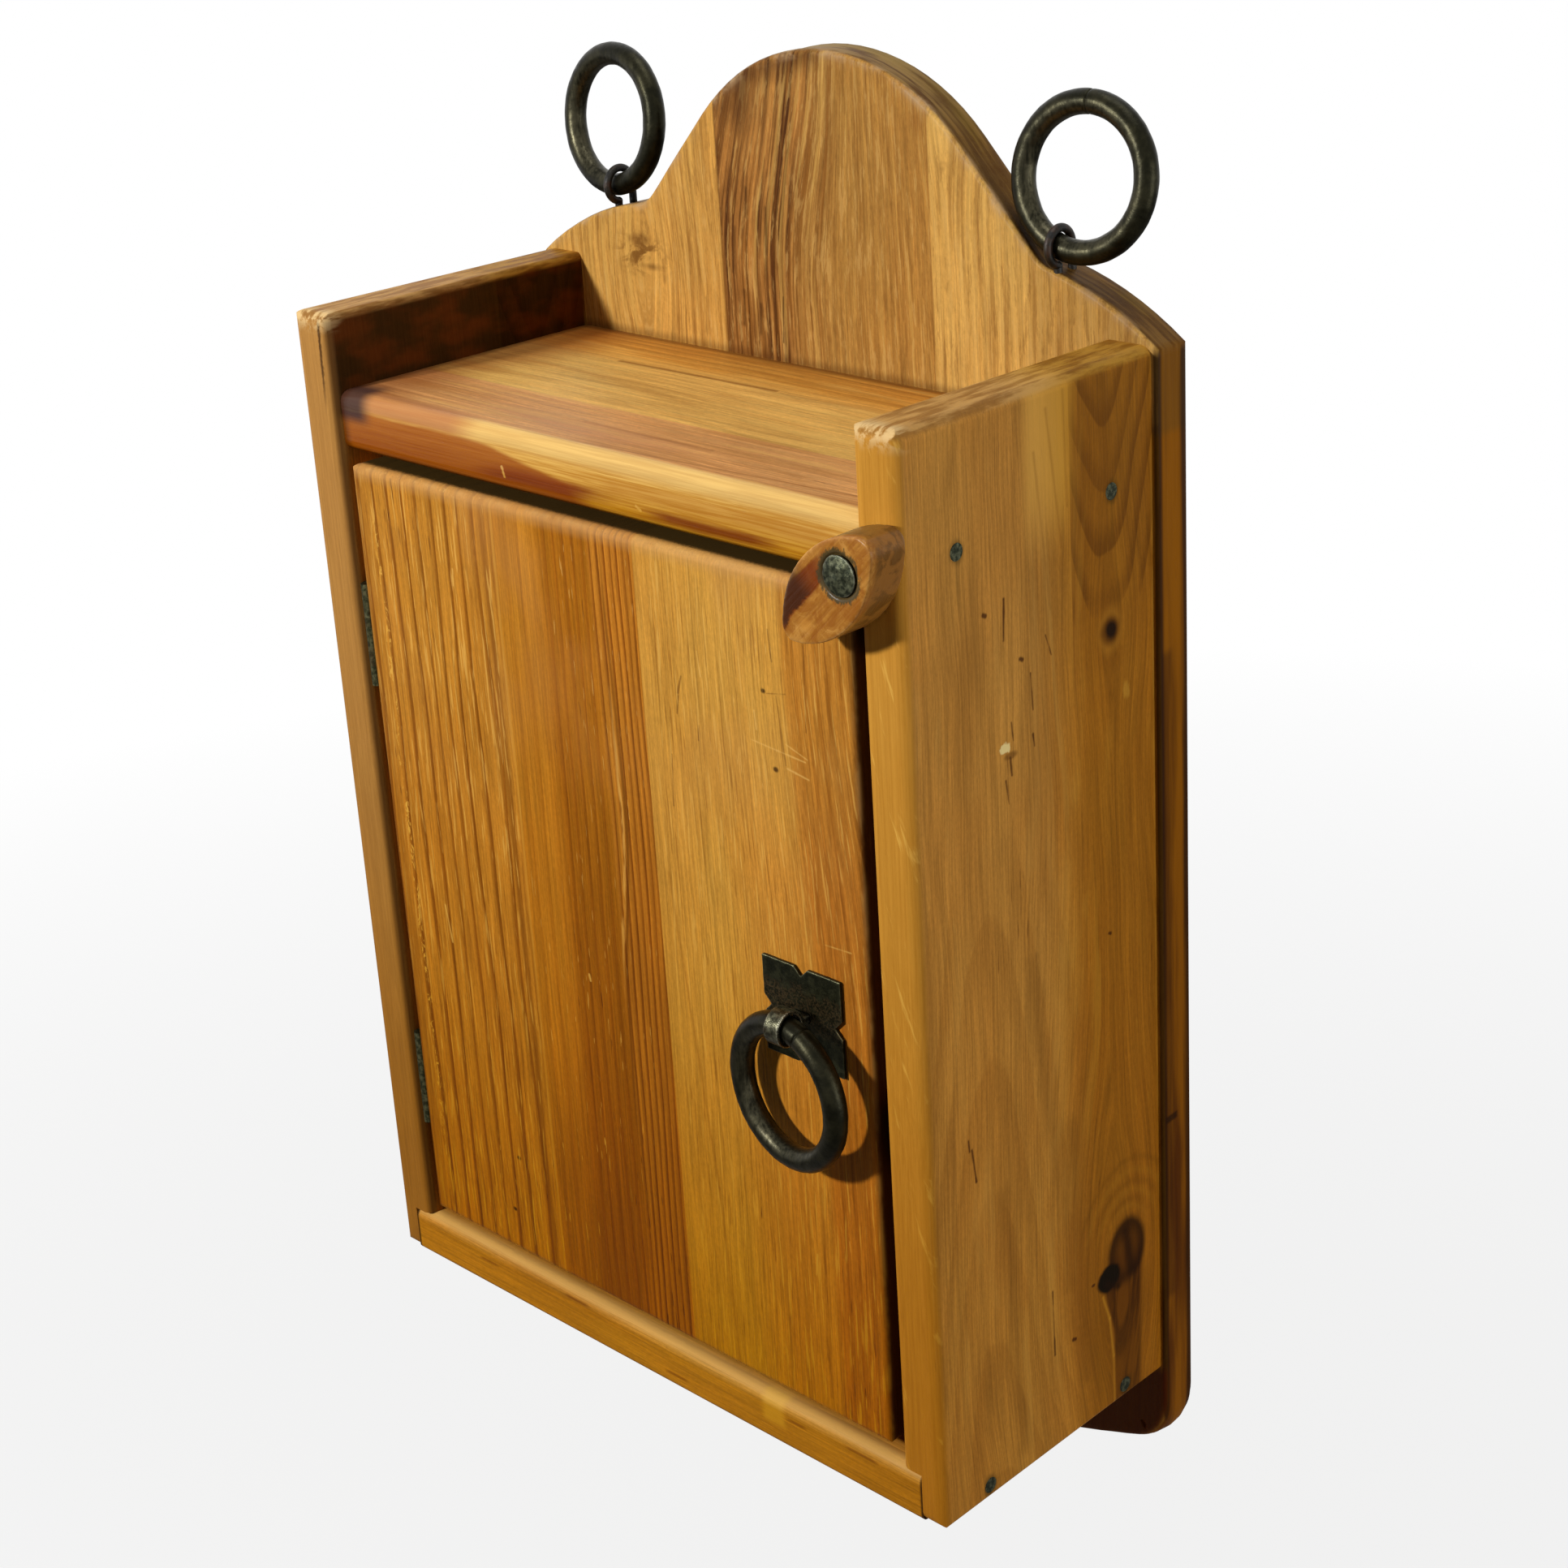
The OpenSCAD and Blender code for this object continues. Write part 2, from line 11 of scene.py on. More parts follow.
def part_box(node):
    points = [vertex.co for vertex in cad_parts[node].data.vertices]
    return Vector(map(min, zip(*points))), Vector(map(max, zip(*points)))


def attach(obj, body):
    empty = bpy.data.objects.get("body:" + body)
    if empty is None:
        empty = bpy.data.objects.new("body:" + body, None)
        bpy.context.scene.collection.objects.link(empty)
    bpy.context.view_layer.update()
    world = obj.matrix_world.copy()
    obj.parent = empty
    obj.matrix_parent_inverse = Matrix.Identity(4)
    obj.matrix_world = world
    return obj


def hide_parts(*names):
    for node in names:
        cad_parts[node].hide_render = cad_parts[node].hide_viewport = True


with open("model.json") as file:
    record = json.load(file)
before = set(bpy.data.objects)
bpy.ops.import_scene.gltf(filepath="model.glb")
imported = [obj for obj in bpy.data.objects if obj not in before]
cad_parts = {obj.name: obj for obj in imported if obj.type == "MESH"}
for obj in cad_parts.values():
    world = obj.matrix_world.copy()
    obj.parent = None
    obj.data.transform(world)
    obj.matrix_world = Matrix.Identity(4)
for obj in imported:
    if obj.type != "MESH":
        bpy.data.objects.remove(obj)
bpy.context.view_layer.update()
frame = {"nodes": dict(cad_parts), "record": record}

NODES = frame["nodes"]
MM = 0.001


# ---------------------------------------------------------------- materials

# Sockets of a Mix node that mixes colours
MIX_A, MIX_B, MIX_RESULT = 6, 7, 2
# How far one whole seed moves a noise along each axis
SEED_SHIFT = (7.31, 3.17, 5.93)


def srgb(red, green, blue):
    """A screen colour, 0 to 255, as the linear value that a shader takes."""
    def linear(v):
        v /= 255
        return v / 12.92 if v <= 0.04045 else ((v + 0.055) / 1.055) ** 2.4
    return (linear(red), linear(green), linear(blue), 1)


def box_mm(node):
    """The box round a CAD node, in millimetres."""
    return [[v / MM for v in corner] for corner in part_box(node)]


def middle_mm(node):
    """The middle of a CAD node's box, to a tenth of a millimetre."""
    return [round((lo + hi) / 2, 1) for lo, hi in zip(*box_mm(node))]


def arithmetic(how, turned=False):
    """An operator of Val that adds a Math node, with its two sides turned round if need be."""
    def operate(val, other):
        return val.skin.math(how, *((other, val) if turned else (val, other)))
    return operate


class Val:
    """A number worked out by nodes: arithmetic on it adds Math nodes."""

    __add__ = __radd__ = arithmetic("ADD")
    __sub__ = arithmetic("SUBTRACT")
    __rsub__ = arithmetic("SUBTRACT", True)
    __mul__ = arithmetic("MULTIPLY")
    __truediv__ = arithmetic("DIVIDE")
    __pow__ = arithmetic("POWER")

    def __init__(self, skin, socket):
        self.skin = skin
        self.socket = socket


class Nodes:
    """Short calls for the nodes of a material or a world."""

    def __init__(self, owner):
        owner.use_nodes = True
        self.tree = owner.node_tree
        self.tree.nodes.clear()

    def put(self, socket, value):
        """Links a socket to what nodes work out, or sets it to a constant. A tuple of three numbers is a
        screen colour, 0 to 255, and one of four is a linear colour."""
        if isinstance(value, Val):
            value = value.socket
        if isinstance(value, bpy.types.NodeSocket):
            self.tree.links.new(value, socket)
        elif isinstance(value, tuple) and len(value) == 3:
            socket.default_value = srgb(*value)
        else:
            socket.default_value = value

    def node(self, kind, *values, **settings):
        """A new node with its settings. The values go into its inputs, in their order."""
        n = self.tree.nodes.new("ShaderNode" + kind)
        for key, value in settings.items():
            setattr(n, key, value)
        for socket, value in zip(n.inputs, values):
            self.put(socket, value)
        return n

    def shader(self, kind, *values):
        return self.node(kind, *values).outputs[0]


class Skin(Nodes):
    """A material, with its lengths in millimetres."""

    def __init__(self, name, specular=0.5, metallic=0):
        self.mat = bpy.data.materials.new(name)
        super().__init__(self.mat)
        self.bsdf = self.node("BsdfPrincipled")
        self.bsdf.inputs["Specular IOR Level"].default_value = specular
        self.bsdf.inputs["Metallic"].default_value = metallic
        self.node("OutputMaterial", self.bsdf.outputs[0])
        self.place = self.shade(self.node("TexCoord").outputs["Object"], 1 / MM)
        self.x, self.y, self.z = (Val(self, s) for s in self.node("SeparateXYZ", self.place).outputs)

    def math(self, how, *values, clamp=False):
        return Val(self, self.node("Math", *values, operation=how, use_clamp=clamp).outputs[0])

    def least(self, a, b):
        return self.math("MINIMUM", a, b)

    def most(self, a, b):
        return self.math("MAXIMUM", a, b)

    def size(self, a):
        return self.math("ABSOLUTE", a)

    def step(self, start, end, value):
        """0 before start, 1 after end, smooth between them. Start may be above end."""
        bounds = (start, end, 0, 1) if start < end else (end, start, 1, 0)
        n = self.node("MapRange", value, *bounds, interpolation_type="SMOOTHSTEP")
        return Val(self, n.outputs[0])

    def between(self, start, end, value, soft=0.6):
        rise = self.step(start - soft / 2, start + soft / 2, value)
        return rise * self.step(end + soft / 2, end - soft / 2, value)

    def vector(self, x, y, z):
        return self.node("CombineXYZ", x, y, z).outputs[0]

    def noise(self, place, stretch, seed=0, detail=2, rough=0.5, twist=0):
        """Noise from 0 to 1 round 0.5. Stretch gives the repeats in a millimetre along each axis."""
        shift = [seed * along for along in SEED_SHIFT]
        move = self.node("VectorMath", place, list(stretch), shift, operation="MULTIPLY_ADD")
        n = self.node("TexNoise", move.outputs[0])
        for key, value in ("Scale", 1), ("Detail", detail), ("Roughness", rough), ("Distortion", twist):
            n.inputs[key].default_value = value
        return Val(self, n.outputs[0])

    def mix(self, amount, a, b, how="MIX"):
        n = self.node("Mix", amount, data_type="RGBA", blend_type=how)
        self.put(n.inputs[MIX_A], a)
        self.put(n.inputs[MIX_B], b)
        return n.outputs[MIX_RESULT]

    def shade(self, colour, amount):
        """A colour or a place times a factor."""
        n = self.node("VectorMath", colour, operation="SCALE")
        self.put(n.inputs["Scale"], amount)
        return n.outputs[0]

    def attribute(self, name):
        return Val(self, self.node("Attribute", attribute_name=name).outputs["Fac"])

    def finish(self, colour, roughness, relief, depth):
        self.put(self.bsdf.inputs["Base Color"], colour)
        self.put(self.bsdf.inputs["Roughness"], roughness)
        bump = self.node("Bump")
        bump.inputs["Strength"].default_value = 1
        bump.inputs["Distance"].default_value = depth * MM
        self.put(bump.inputs["Height"], relief)
        self.put(self.bsdf.inputs["Normal"], bump.outputs[0])
        return self.mat


class Wood(Skin):
    """Oiled pine. Axes has the letters of the board's own axes: a across, t through and g along the grain."""

    def __init__(self, name, axes, wander, seed, box=None, knots=(), specular=0.05, lean=None):
        """Wander is how far the grain strays across the board. Each knot is (a, g, size). Lean has the
        stretch along the grain where the lines lean over, the seam that holds still with the two places
        between which the lean grows, and how far they lean."""
        super().__init__(name, specular)
        pick = {"x": self.x, "y": self.y, "z": self.z}
        self.a, self.t, self.g = (pick[c] for c in axes)
        self.seed = seed
        self.box = box
        self.board = self.vector(self.a, self.t, self.g)
        slow = self.noise(self.board, (0.012, 0.012, 0.0045), seed + 1, 2) - 0.5
        quick = self.noise(self.board, (0.06, 0.06, 0.016), seed + 2, 2) - 0.5
        self.wa = self.a + slow * wander + quick * (wander * 0.22)
        for ka, kg, size in knots:
            da, dg = self.a - ka, self.g - kg
            spread = (da * da) / (-2 * (2.6 * size) ** 2) + (dg * dg) / (-2 * (4 * size) ** 2)
            near = self.math("EXPONENT", spread)
            self.wa = self.wa - near * (size * 1.5) * (da / (self.size(da) + size * 0.8))
        if lean:
            (start, end), (seam, still, full), shift = lean
            leaning = self.step(seam - 0.2, seam + 0.2, self.a) * self.step(still, full, self.a)
            self.wa = self.wa - self.step(start, end, self.g) * leaning * shift
        self.grain = self.vector(self.wa, self.t, self.g)
        self.fibre = self.noise(self.grain, (1.1, 1.1, 0.022), seed + 3, 4, 0.62)
        self.hair = self.noise(self.grain, (3.4, 3.4, 0.05), seed + 4, 2, 0.5)
        self.cloud = self.noise(self.board, (0.02, 0.02, 0.006), seed + 5, 3, 0.5)
        self.grit = self.noise(self.board, (1.1, 1.1, 0.45), seed + 10, 3, 0.7)
        self.relief = self.fibre * 0.6 + self.hair * 0.2 + self.grit * 0.2
        self.colour = None
        self.gloss = None

    def across(self, start, end):
        return self.step(start, end, self.a)

    def along(self, start, end):
        return self.step(start, end, self.g)

    def through(self, start, end):
        return self.step(start, end, self.t)

    def rings(self, pith, width, sharp=0.6, seed=0, taper=0):
        """Growth rings round a pith line, 0 in early wood and 1 in late wood, each of its own strength."""
        da, dt = self.wa - pith[0], self.t - pith[1]
        reach = (da * da + dt * dt) ** 0.5
        if taper:
            reach = reach + self.g * taper
        drift = (self.noise(self.grain, (0.03, 0.03, 0.004), self.seed + seed + 9) - 0.5) * 1.6
        turn = reach / width + drift
        part = self.math("FRACT", turn)
        count = self.math("FLOOR", turn)
        each = self.noise(self.vector(count * 3.37, seed + self.seed, 0.5), (1, 1, 1), 0.3, 0) * 0.6 + 0.35
        late = self.step(0.95 - sharp, 0.9, part) * self.step(1, 0.93, part)
        return late * self.step(0.25, 0.7, each)

    def growth(self, early, late, strength, *rings):
        """Two tones in growth rings. What follows the strength goes to rings."""
        return self.mix(self.rings(*rings) * strength, early, late)

    def stave(self, start, colour):
        """Paints a glued stave from a seam across the board onwards over what is there."""
        if self.colour is None:
            self.colour = colour
        else:
            self.colour = self.mix(self.step(start - 0.175, start + 0.175, self.a), self.colour, colour)

    def paint(self, mask, colour, how="MIX"):
        self.colour = self.mix(mask, self.colour, colour, how)

    def blob(self, a, g, ra, rg, soft=0.5, ragged=0.35, seed=0, fine=0.12):
        """An oval mark, 1 inside and 0 outside, with a ragged edge."""
        da, dg = (self.a - a) / ra, (self.g - g) / rg
        edge = self.noise(self.board, (fine, fine, fine * 0.6), self.seed + seed + 20, 3)
        return self.step(1, 1 - soft, (da * da + dg * dg) ** 0.5 + (edge - 0.5) * (2 * ragged))

    def away(self, u, v, start, end):
        """The distance from a straight run between two places, in the plane of u and v."""
        (u0, v0), (u1, v1) = start, end
        du, dv = u1 - u0, v1 - v0
        eu, ev = u - u0, v - v0
        run = self.math("MULTIPLY", eu * du + ev * dv, 1 / math.hypot(du, dv) ** 2, clamp=True)
        ou, ov = eu - run * du, ev - run * dv
        return (ou * ou + ov * ov) ** 0.5

    def stroke(self, start, end, width, soft=0.5, ragged=0):
        """A thin mark from one place to another, each across and along the board."""
        off = self.away(self.a, self.g, start, end)
        if ragged:
            rag = self.noise(self.board, (0.35, 0.35, 0.12), self.seed + 40, 3)
            off = off + (rag - 0.5) * (2 * ragged)
        return self.step(width / 2 + soft / 2, width / 2 - soft / 2, off)

    def marks(self, strength, colour, soft, ragged, runs):
        """Thin marks of one kind. Each run is a start, an end and a width."""
        for a0, g0, a1, g1, width in runs:
            self.paint(self.stroke((a0, g0), (a1, g1), width, soft, ragged) * strength, colour)

    def edge(self, reach):
        """1 on the board's arrises and 0 from reach inwards, worked out from the board's box."""
        lo, hi = self.box
        parts = [self.least(v - lo[i], hi[i] - v) for i, v in enumerate((self.x, self.y, self.z))]
        small = self.least(self.least(parts[0], parts[1]), parts[2])
        large = self.most(self.most(parts[0], parts[1]), parts[2])
        middle = parts[0] + parts[1] + parts[2] - small - large
        return self.step(reach, 0, middle)

    def body(self, fleck=0.5, dash=0.5, tone=0.25):
        """Fibre, clouding, grit, dark dashes and pale flecks over the staves."""
        patch = self.noise(self.grain, (0.075, 0.075, 0.022), self.seed + 11, 4, 0.6)
        self.colour = self.shade(self.colour, 1 - tone / 2 + self.cloud * tone)
        self.colour = self.shade(self.colour, 0.82 + patch * 0.36)
        warm = self.noise(self.board, (0.035, 0.035, 0.012), self.seed + 12, 3, 0.6)
        self.paint(self.step(0.35, 0.65, warm) * 0.22, (255, 226, 190), "MULTIPLY")
        self.colour = self.shade(self.colour, 0.42 + self.fibre * 1.16)
        self.colour = self.shade(self.colour, 0.74 + self.hair * 0.52)
        self.colour = self.shade(self.colour, 0.72 + self.grit * 0.56)
        sparse = self.step(0.52, 0.66, self.noise(self.board, (0.03, 0.03, 0.012), self.seed + 6, 2))
        dashes = self.noise(self.grain, (0.9, 0.9, 0.07), self.seed + 7, 1)
        dashes = self.step(0.69, 0.75, dashes) * sparse
        self.paint(dashes * dash, (92, 46, 10))
        flecks = self.step(0.725, 0.76, self.noise(self.grain, (1.3, 1.3, 0.1), self.seed + 8, 1))
        self.paint(flecks * fleck * self.step(0.42, 0.62, self.cloud), (228, 176, 96))
        self.relief = self.relief - dashes * 0.5 - flecks * 0.3

    def streaks(self, field, *layers, where=1):
        """Paints over where a noise is high or low. Each layer is (start, end, strength, colour)."""
        for start, end, strength, colour in layers:
            self.paint(self.step(start, end, field) * strength * where, colour)

    def worn(self, reach, colour, amount, seed):
        """Pale, rubbed arrises, broken up along their length."""
        rub = self.noise(self.board, (0.12, 0.12, 0.05), seed + 60, 3, 0.6)
        self.gloss = self.edge(reach) * self.step(0.36, 0.62, rub) * amount
        self.paint(self.gloss, colour)

    def grade(self, high, low, start, end, value=None):
        """A tint at start that turns into another at end, multiplied into the colour: the wood's own tone,
        and on some boards painted shade too.
        """
        far = self.step(start, end, self.g if value is None else value)
        self.paint(1, self.mix(far, (*high, 1), (*low, 1)), "MULTIPLY")

    def seal(self, roughness=0.42, depth=0.12):
        rough = roughness + (self.fibre - 0.5) * 0.18 + (self.cloud - 0.5) * 0.12
        if self.gloss is not None:
            rough = rough - self.gloss * 0.16
        return self.finish(self.colour, rough, self.relief, depth)


def door_pine():
    core = -122
    w = Wood("door_pine", "xyz", 5, 1, box_mm("door"), [(132, 300, 14)])
    # the staves, from the hinges to the pull
    w.stave(0, w.growth((184, 122, 42), (130, 74, 14), 1, (-520, core), 8.1, 0.34, 1))
    plain = w.growth((180, 116, 32), (152, 90, 18), 0.5, (-420, core), 6.5, 0.6, 2)
    dark = w.growth((158, 96, 20), (122, 64, 8), 0.6, (-320, core), 4.6, 0.5, 3)
    fine = w.growth((180, 114, 36), (120, 64, 12), 1, (-280, core), 3.1, 0.6, 4)
    for start, end, tones in ((-45.5, -43, plain), (-25, -20, dark), (2.5, 5, fine)):
        w.paint(w.step(start, end, w.wa), tones)
    w.stave(24.5, w.growth((196, 142, 62), (170, 112, 40), 0.3, (52, -190), 13, 0.5, 5, -0.05))
    last = w.growth((180, 120, 46), (142, 84, 22), 0.5, (420, core), 5.6, 0.5, 6)
    w.paint(w.step(94, 99, w.wa) * w.across(60, 63), last)
    w.paint(w.between(-23, 24.5, w.a, 6) * w.along(250, 150) * 0.2, (116, 60, 6))
    w.paint(w.between(-44, -20, w.a, 6) * w.along(130, 60) * 0.4, (118, 60, 4))
    w.body(0.6, 0.85, 0.24)
    w.paint(w.across(52, 80) * w.along(270, 200) * 0.8, (1, 0.84, 0.8, 1), "MULTIPLY")
    door_marks(w, w.through(core, core - 4))
    # rounded edges: a lighter, pinker top, and painted shade on the top under the shelf and on the arrises by
    # the gaps
    pink = w.noise(w.board, (0.02, 0.02, 0.012), 74, 3)
    w.paint(w.step(0.44, 0.62, pink) * w.along(180, 300) * 0.25, (180, 122, 72))
    w.paint(w.along(312, 317) * 0.5, (196, 146, 92))
    # painted shade: the top face behind the front, dark where the shelf overhangs it
    behind = w.step(-127.6, -125.4, w.t + (w.grit - 0.5) * 3)
    w.paint(behind * w.along(317.4, 318.2) * 0.92, (42, 34, 14))
    # painted shade: the arrises below the top darker where they turn into the gaps, and the right edge near
    # black
    w.paint(w.edge(2.6) * w.along(309, 300) * 0.6, (84, 42, 8))
    w.paint(w.across(116.6, 117.7) * 0.9, (38, 16, 4))
    w.worn(2.6, (214, 168, 108), 0.4, 1)
    # painted shade: darker towards the bottom, where less light falls, with the wood turning yellower there
    w.grade((0.72, 0.58, 0.03), (0.98, 1, 0.9), 5, 300)
    return w.seal(0.4, 0.12)


def door_marks(w, face):
    """What years of use left on the door's front."""
    # the rubbed streak in the dark stave, thinnest at its ends, with a dark line beside it
    bend = w.wa - (w.g - 190) * 0.02 - w.along(150, 215) * 5 + w.along(215, 300) * 2.5
    torn = w.noise(w.board, (0.5, 0.5, 0.06), 73, 3, 0.6)
    streak = w.between(2.7, 4.1, bend + (torn - 0.5) * 3, 1)
    streak = streak * w.along(140, 190) * w.along(280, 225)
    w.paint(face * streak * w.step(0.36, 0.56, torn) * 0.85, (214, 156, 78))
    w.paint(w.between(4.4, 5.6, bend, 1) * w.between(100, 300, w.g, 60) * 0.6, (84, 40, 6))
    # the bright line where the striped stave ends, and the dark one beside it
    w.paint(w.between(-44.4, -43.2, w.wa, 0.8) * 0.5, (214, 152, 62))
    w.paint(w.between(-50, -47, w.wa, 1.6) * 0.55, (112, 58, 8))
    # two pin holes joined by scratches, and two more at the bottom
    for a, g in ((79.5, 279.5), (83, 254.5), (-64.5, 64), (-70, 40.5)):
        w.paint(face * w.blob(a, g, 1.5, 1.2, 0.7, 0.3) * 0.9, (40, 16, 4))
    w.marks(face * 0.65, (80, 38, 10), 0.7, 0.45, (
        (81, 279, 89, 280.5, 0.3), (85, 279, 87.5, 257, 0.4), (83, 300, 84, 290, 0.3),
        (43, 276, 41, 270, 0.7), (41, 269, 40, 263, 0.6), (49.5, 261, 49, 256, 0.4),
        (98, 300, 97, 270, 0.3), (36, 248, 35, 230, 0.3)))
    w.marks(face * 0.65, (228, 178, 100), 0.7, 0.45, (
        (73, 262, 96, 260, 0.3), (88, 256, 97, 254.5, 0.5), (88, 264, 97, 261, 0.3),
        (100, 200, 111, 200.5, 0.3), (51, 286, 52, 278, 0.4), (75, 272, 75.5, 266, 0.3),
        (-67, 290, -67.5, 284, 0.6), (-15, 154, -14.5, 152, 1), (-92, 158, -90, 144, 1),
        (83, 230, 84, 222, 0.5), (88, 84, 87, 76, 0.5)))
    # short dashes on the outer staves
    w.streaks(w.noise(w.grain, (0.9, 0.9, 0.045), 75, 2, 0.6), (0.57, 0.66, 0.5, (226, 172, 88)),
              (0.4, 0.31, 0.45, (118, 64, 14)), where=face * w.step(34, 39, w.size(w.a + 8)))
    # faint lines that drift across the pale stave
    w.marks(0.45, (128, 72, 16), 2, 0.5, (
        (30, 205, 43, 92, 0.8), (43, 92, 47, 22, 0.8), (105, 312, 97, 200, 0.8), (109, 300, 101, 190, 0.8),
        (92, 110, 91, 30, 0.8)))
    # chipped varnish along the hinge side
    chip = w.noise(w.board, (0.4, 0.4, 0.16), 71, 4, 0.7, 1.4)
    drift = (w.noise(w.board, (0.02, 0.02, 0.03), 72) - 0.5) * 5
    line = w.between(-109.6, -107.2, w.wa + drift, 1.6) * w.between(60, 300, w.g, 40)
    w.paint(face * line * w.step(0.53, 0.6, chip) * 0.85, (222, 168, 76))
    # painted shade: darker along the hinge-side edge, by the gap
    w.paint(face * w.across(-107.5, -113.5) * 0.4, (128, 76, 22))


def side_pine(name, node, seed, right):
    out = 1 if right else -1
    knots = [(-37, 284.5, 6), (-40, 58, 12)] if right else [(-70, 210, 7)]
    w = Wood(name, "yxz", 16, seed, box_mm(node), knots)
    arch = w.rings((-97, 128 * out), 12, 0.8, 1, 0.24) * w.along(245, 205)
    rear = w.growth((172, 116, 54), (128, 80, 32), 0.3, (-120, 128 * out), 7, 0.8, 2)
    vees = w.rings((-38, 130.5 * out), 6.4, 0.6, 4, -0.32) * w.along(288, 300)
    rear = w.mix(vees * 0.65, rear, (104, 62, 24))
    w.stave(0, w.mix(arch * 0.32, (190, 134, 66), (150, 96, 38)))
    band = w.between(-78, -56, w.wa, 8) * w.along(180, 240) * w.along(335, 312)
    w.paint(band * 0.45, (144, 92, 36))
    w.paint(w.step(-60, -50, w.wa) * w.along(280, 262), rear)
    w.paint(w.across(-55.7, -55.2) * w.along(258, 276), rear)
    w.body(0.2, 0.5, 0.36)
    if right:
        right_side_marks(w)
    else:
        # painted shade: the tray's left wall inside, facing away from the key light, near black and mottled
        wall_shade_mottle = w.step(0.4, 0.66, w.noise(w.board, (0.05, 0.1, 0.09), 30, 3))
        inside = w.step(-124, -122.2, w.x) * w.along(332, 336)
        w.paint(inside * 0.94, w.mix(wall_shade_mottle, (30, 13, 2), (78, 32, 6)))
    # stains round the nails and below them
    for g in (329, 5):
        for a in (-107.5, -35.5):
            w.paint(w.blob(a, g, 4.6, 5.2, 0.7, 0.4, 9) * 0.7, (44, 40, 20))
            w.paint(w.blob(a, g - 9, 1.4, 13, 0.8, 0.3, 9) * 0.25, (76, 60, 26))
    side_front(w, right)
    # top edge and its rubbed front corner
    smear = w.noise(w.board, (0.06, 0.35, 0.35), 81, 4, 0.6)
    bare = w.mix(w.step(0.38, 0.62, smear), (136, 94, 52), (196, 152, 100))
    w.paint(w.along(366.6, 368.6) * 0.75, bare)
    corner = w.along(362, 368.5) * w.across(-122, -128)
    w.paint(corner * w.step(0.42, 0.58, smear) * 0.6, (226, 196, 156))
    w.worn(1.6, (200, 152, 94), 0.4, seed)
    # painted shade: darker towards the bottom and the rear, with the wood turning yellower there
    w.grade((0.87, 0.81, 0.46), (1, 1, 0.8), 30, 330)
    w.grade((1, 1, 1), (0.88, 0.81, 0.36), -75, -45, w.a)
    return w.seal(0.44, 0.12)


def side_front(w, right):
    """A side board's front edge: more orange with short pale glints, and on the left board browner, with
    painted shade on its inner arris by the door.
    """
    front = w.across(-127, -129.5)
    if right:
        w.paint(front * 0.75, w.mix(w.fibre, (178, 116, 34), (206, 150, 62)))
        glint = w.noise(w.vector(w.x * 0.9 + w.g * 0.3, w.a, w.g * 0.1), (0.35, 0.2, 0.5), 80, 3, 0.6)
        w.paint(front * w.step(0.6, 0.72, glint) * 0.5, (232, 182, 96))
    else:
        w.paint(front * 0.75, w.mix(w.fibre, (142, 98, 52), (168, 124, 76)))
        crack = w.size(w.x + 127.6 - (w.g - 300) * 0.03) + (w.grit - 0.5) * 1.5
        w.paint(front * w.step(1, 0.2, crack) * w.along(334, 350) * 0.85, (54, 26, 8))
        # painted shade: the inner arris, dark where it turns into the gap by the hinges
        w.paint(front * w.step(-124.6, -122.6, w.x) * 0.75, (64, 34, 12))
    w.paint(front * w.along(220, 40), (0.9, 0.8, 0.5, 1), "MULTIPLY")


def right_side_marks(w):
    """The right board's bands, scratches, knots and specks."""
    w.streaks(w.noise(w.grain, (0.045, 0.045, 0.006), 27, 4, 0.6, 0.6),
              (0.5, 0.66, 0.3, (118, 76, 30)), (0.46, 0.34, 0.3, (216, 164, 92)))
    w.paint(w.between(-55.5, -12, w.a, 0.6) * w.along(250, 340) * 0.35, (110, 68, 28))
    pale = w.between(-76, -55.6, w.wa - (w.g - 330) * 0.06, 8)
    w.paint(pale * w.along(312, 345) * 0.75, (214, 160, 80))
    w.marks(0.45, (138, 90, 38), 1.6, 0.4, (
        (-66, 362, -60, 318, 0.7), (-58, 366, -57, 330, 0.7), (-72, 350, -66, 300, 0.7)))
    w.marks(0.3, (112, 70, 26), 7, 2, (
        (-80, 186, -64, 60, 5), (-62, 120, -56, 20, 5), (-96, 110, -90, 10, 5)))
    nail_knots(w)
    # the small knot above
    for a, ra, rg, soft, seed, strength, colour in (
            (-37, 8.5, 9.5, 0.5, 4, 0.35, (196, 140, 78)), (-37, 6, 6.4, 0.5, 5, 0.8, (96, 56, 20)),
            (-36.6, 3.8, 4.2, 0.6, 6, 1, (34, 18, 8))):
        w.paint(w.blob(a, 284.5, ra, rg, soft, 0.3, seed) * strength, colour)
    w.marks(0.85, (64, 26, 8), 0.8, 0.6, (
        (-87.4, 309, -88, 296, 0.8), (-96.8, 306.5, -95.8, 306, 1.5), (-80.6, 288, -79.6, 287.5, 1.3),
        (-76, 282, -75.2, 270, 0.5), (-75.5, 262, -75, 258, 0.5), (-85.5, 269, -84.8, 263, 0.7),
        (-86.5, 258, -86, 252, 0.8), (-88.8, 251, -87.6, 243, 0.5), (-110.5, 133, -109, 121, 0.9),
        (-112, 137, -111.6, 133, 0.7), (-73.2, 62, -72.8, 37, 0.6), (-63, 38, -62, 37.6, 1.4),
        (-40.2, 181, -39.4, 180.6, 1.2), (-68.5, 292, -66, 285, 0.5), (-52.5, 53.5, -51.5, 53.5, 1.2)))
    # a chip in the varnish
    w.paint(w.blob(-88.8, 261.8, 2.8, 2.2, 0.35, 1.1, 12, 0.45), (238, 212, 160))
    w.paint(w.blob(-30, 262, 2.2, 4, 0.6, 0.8, 13, 0.3) * 0.4, (220, 170, 104))
    w.paint(w.blob(-86.5, 258.5, 4, 1.6, 0.6, 0.5) * 0.6, (90, 50, 16))


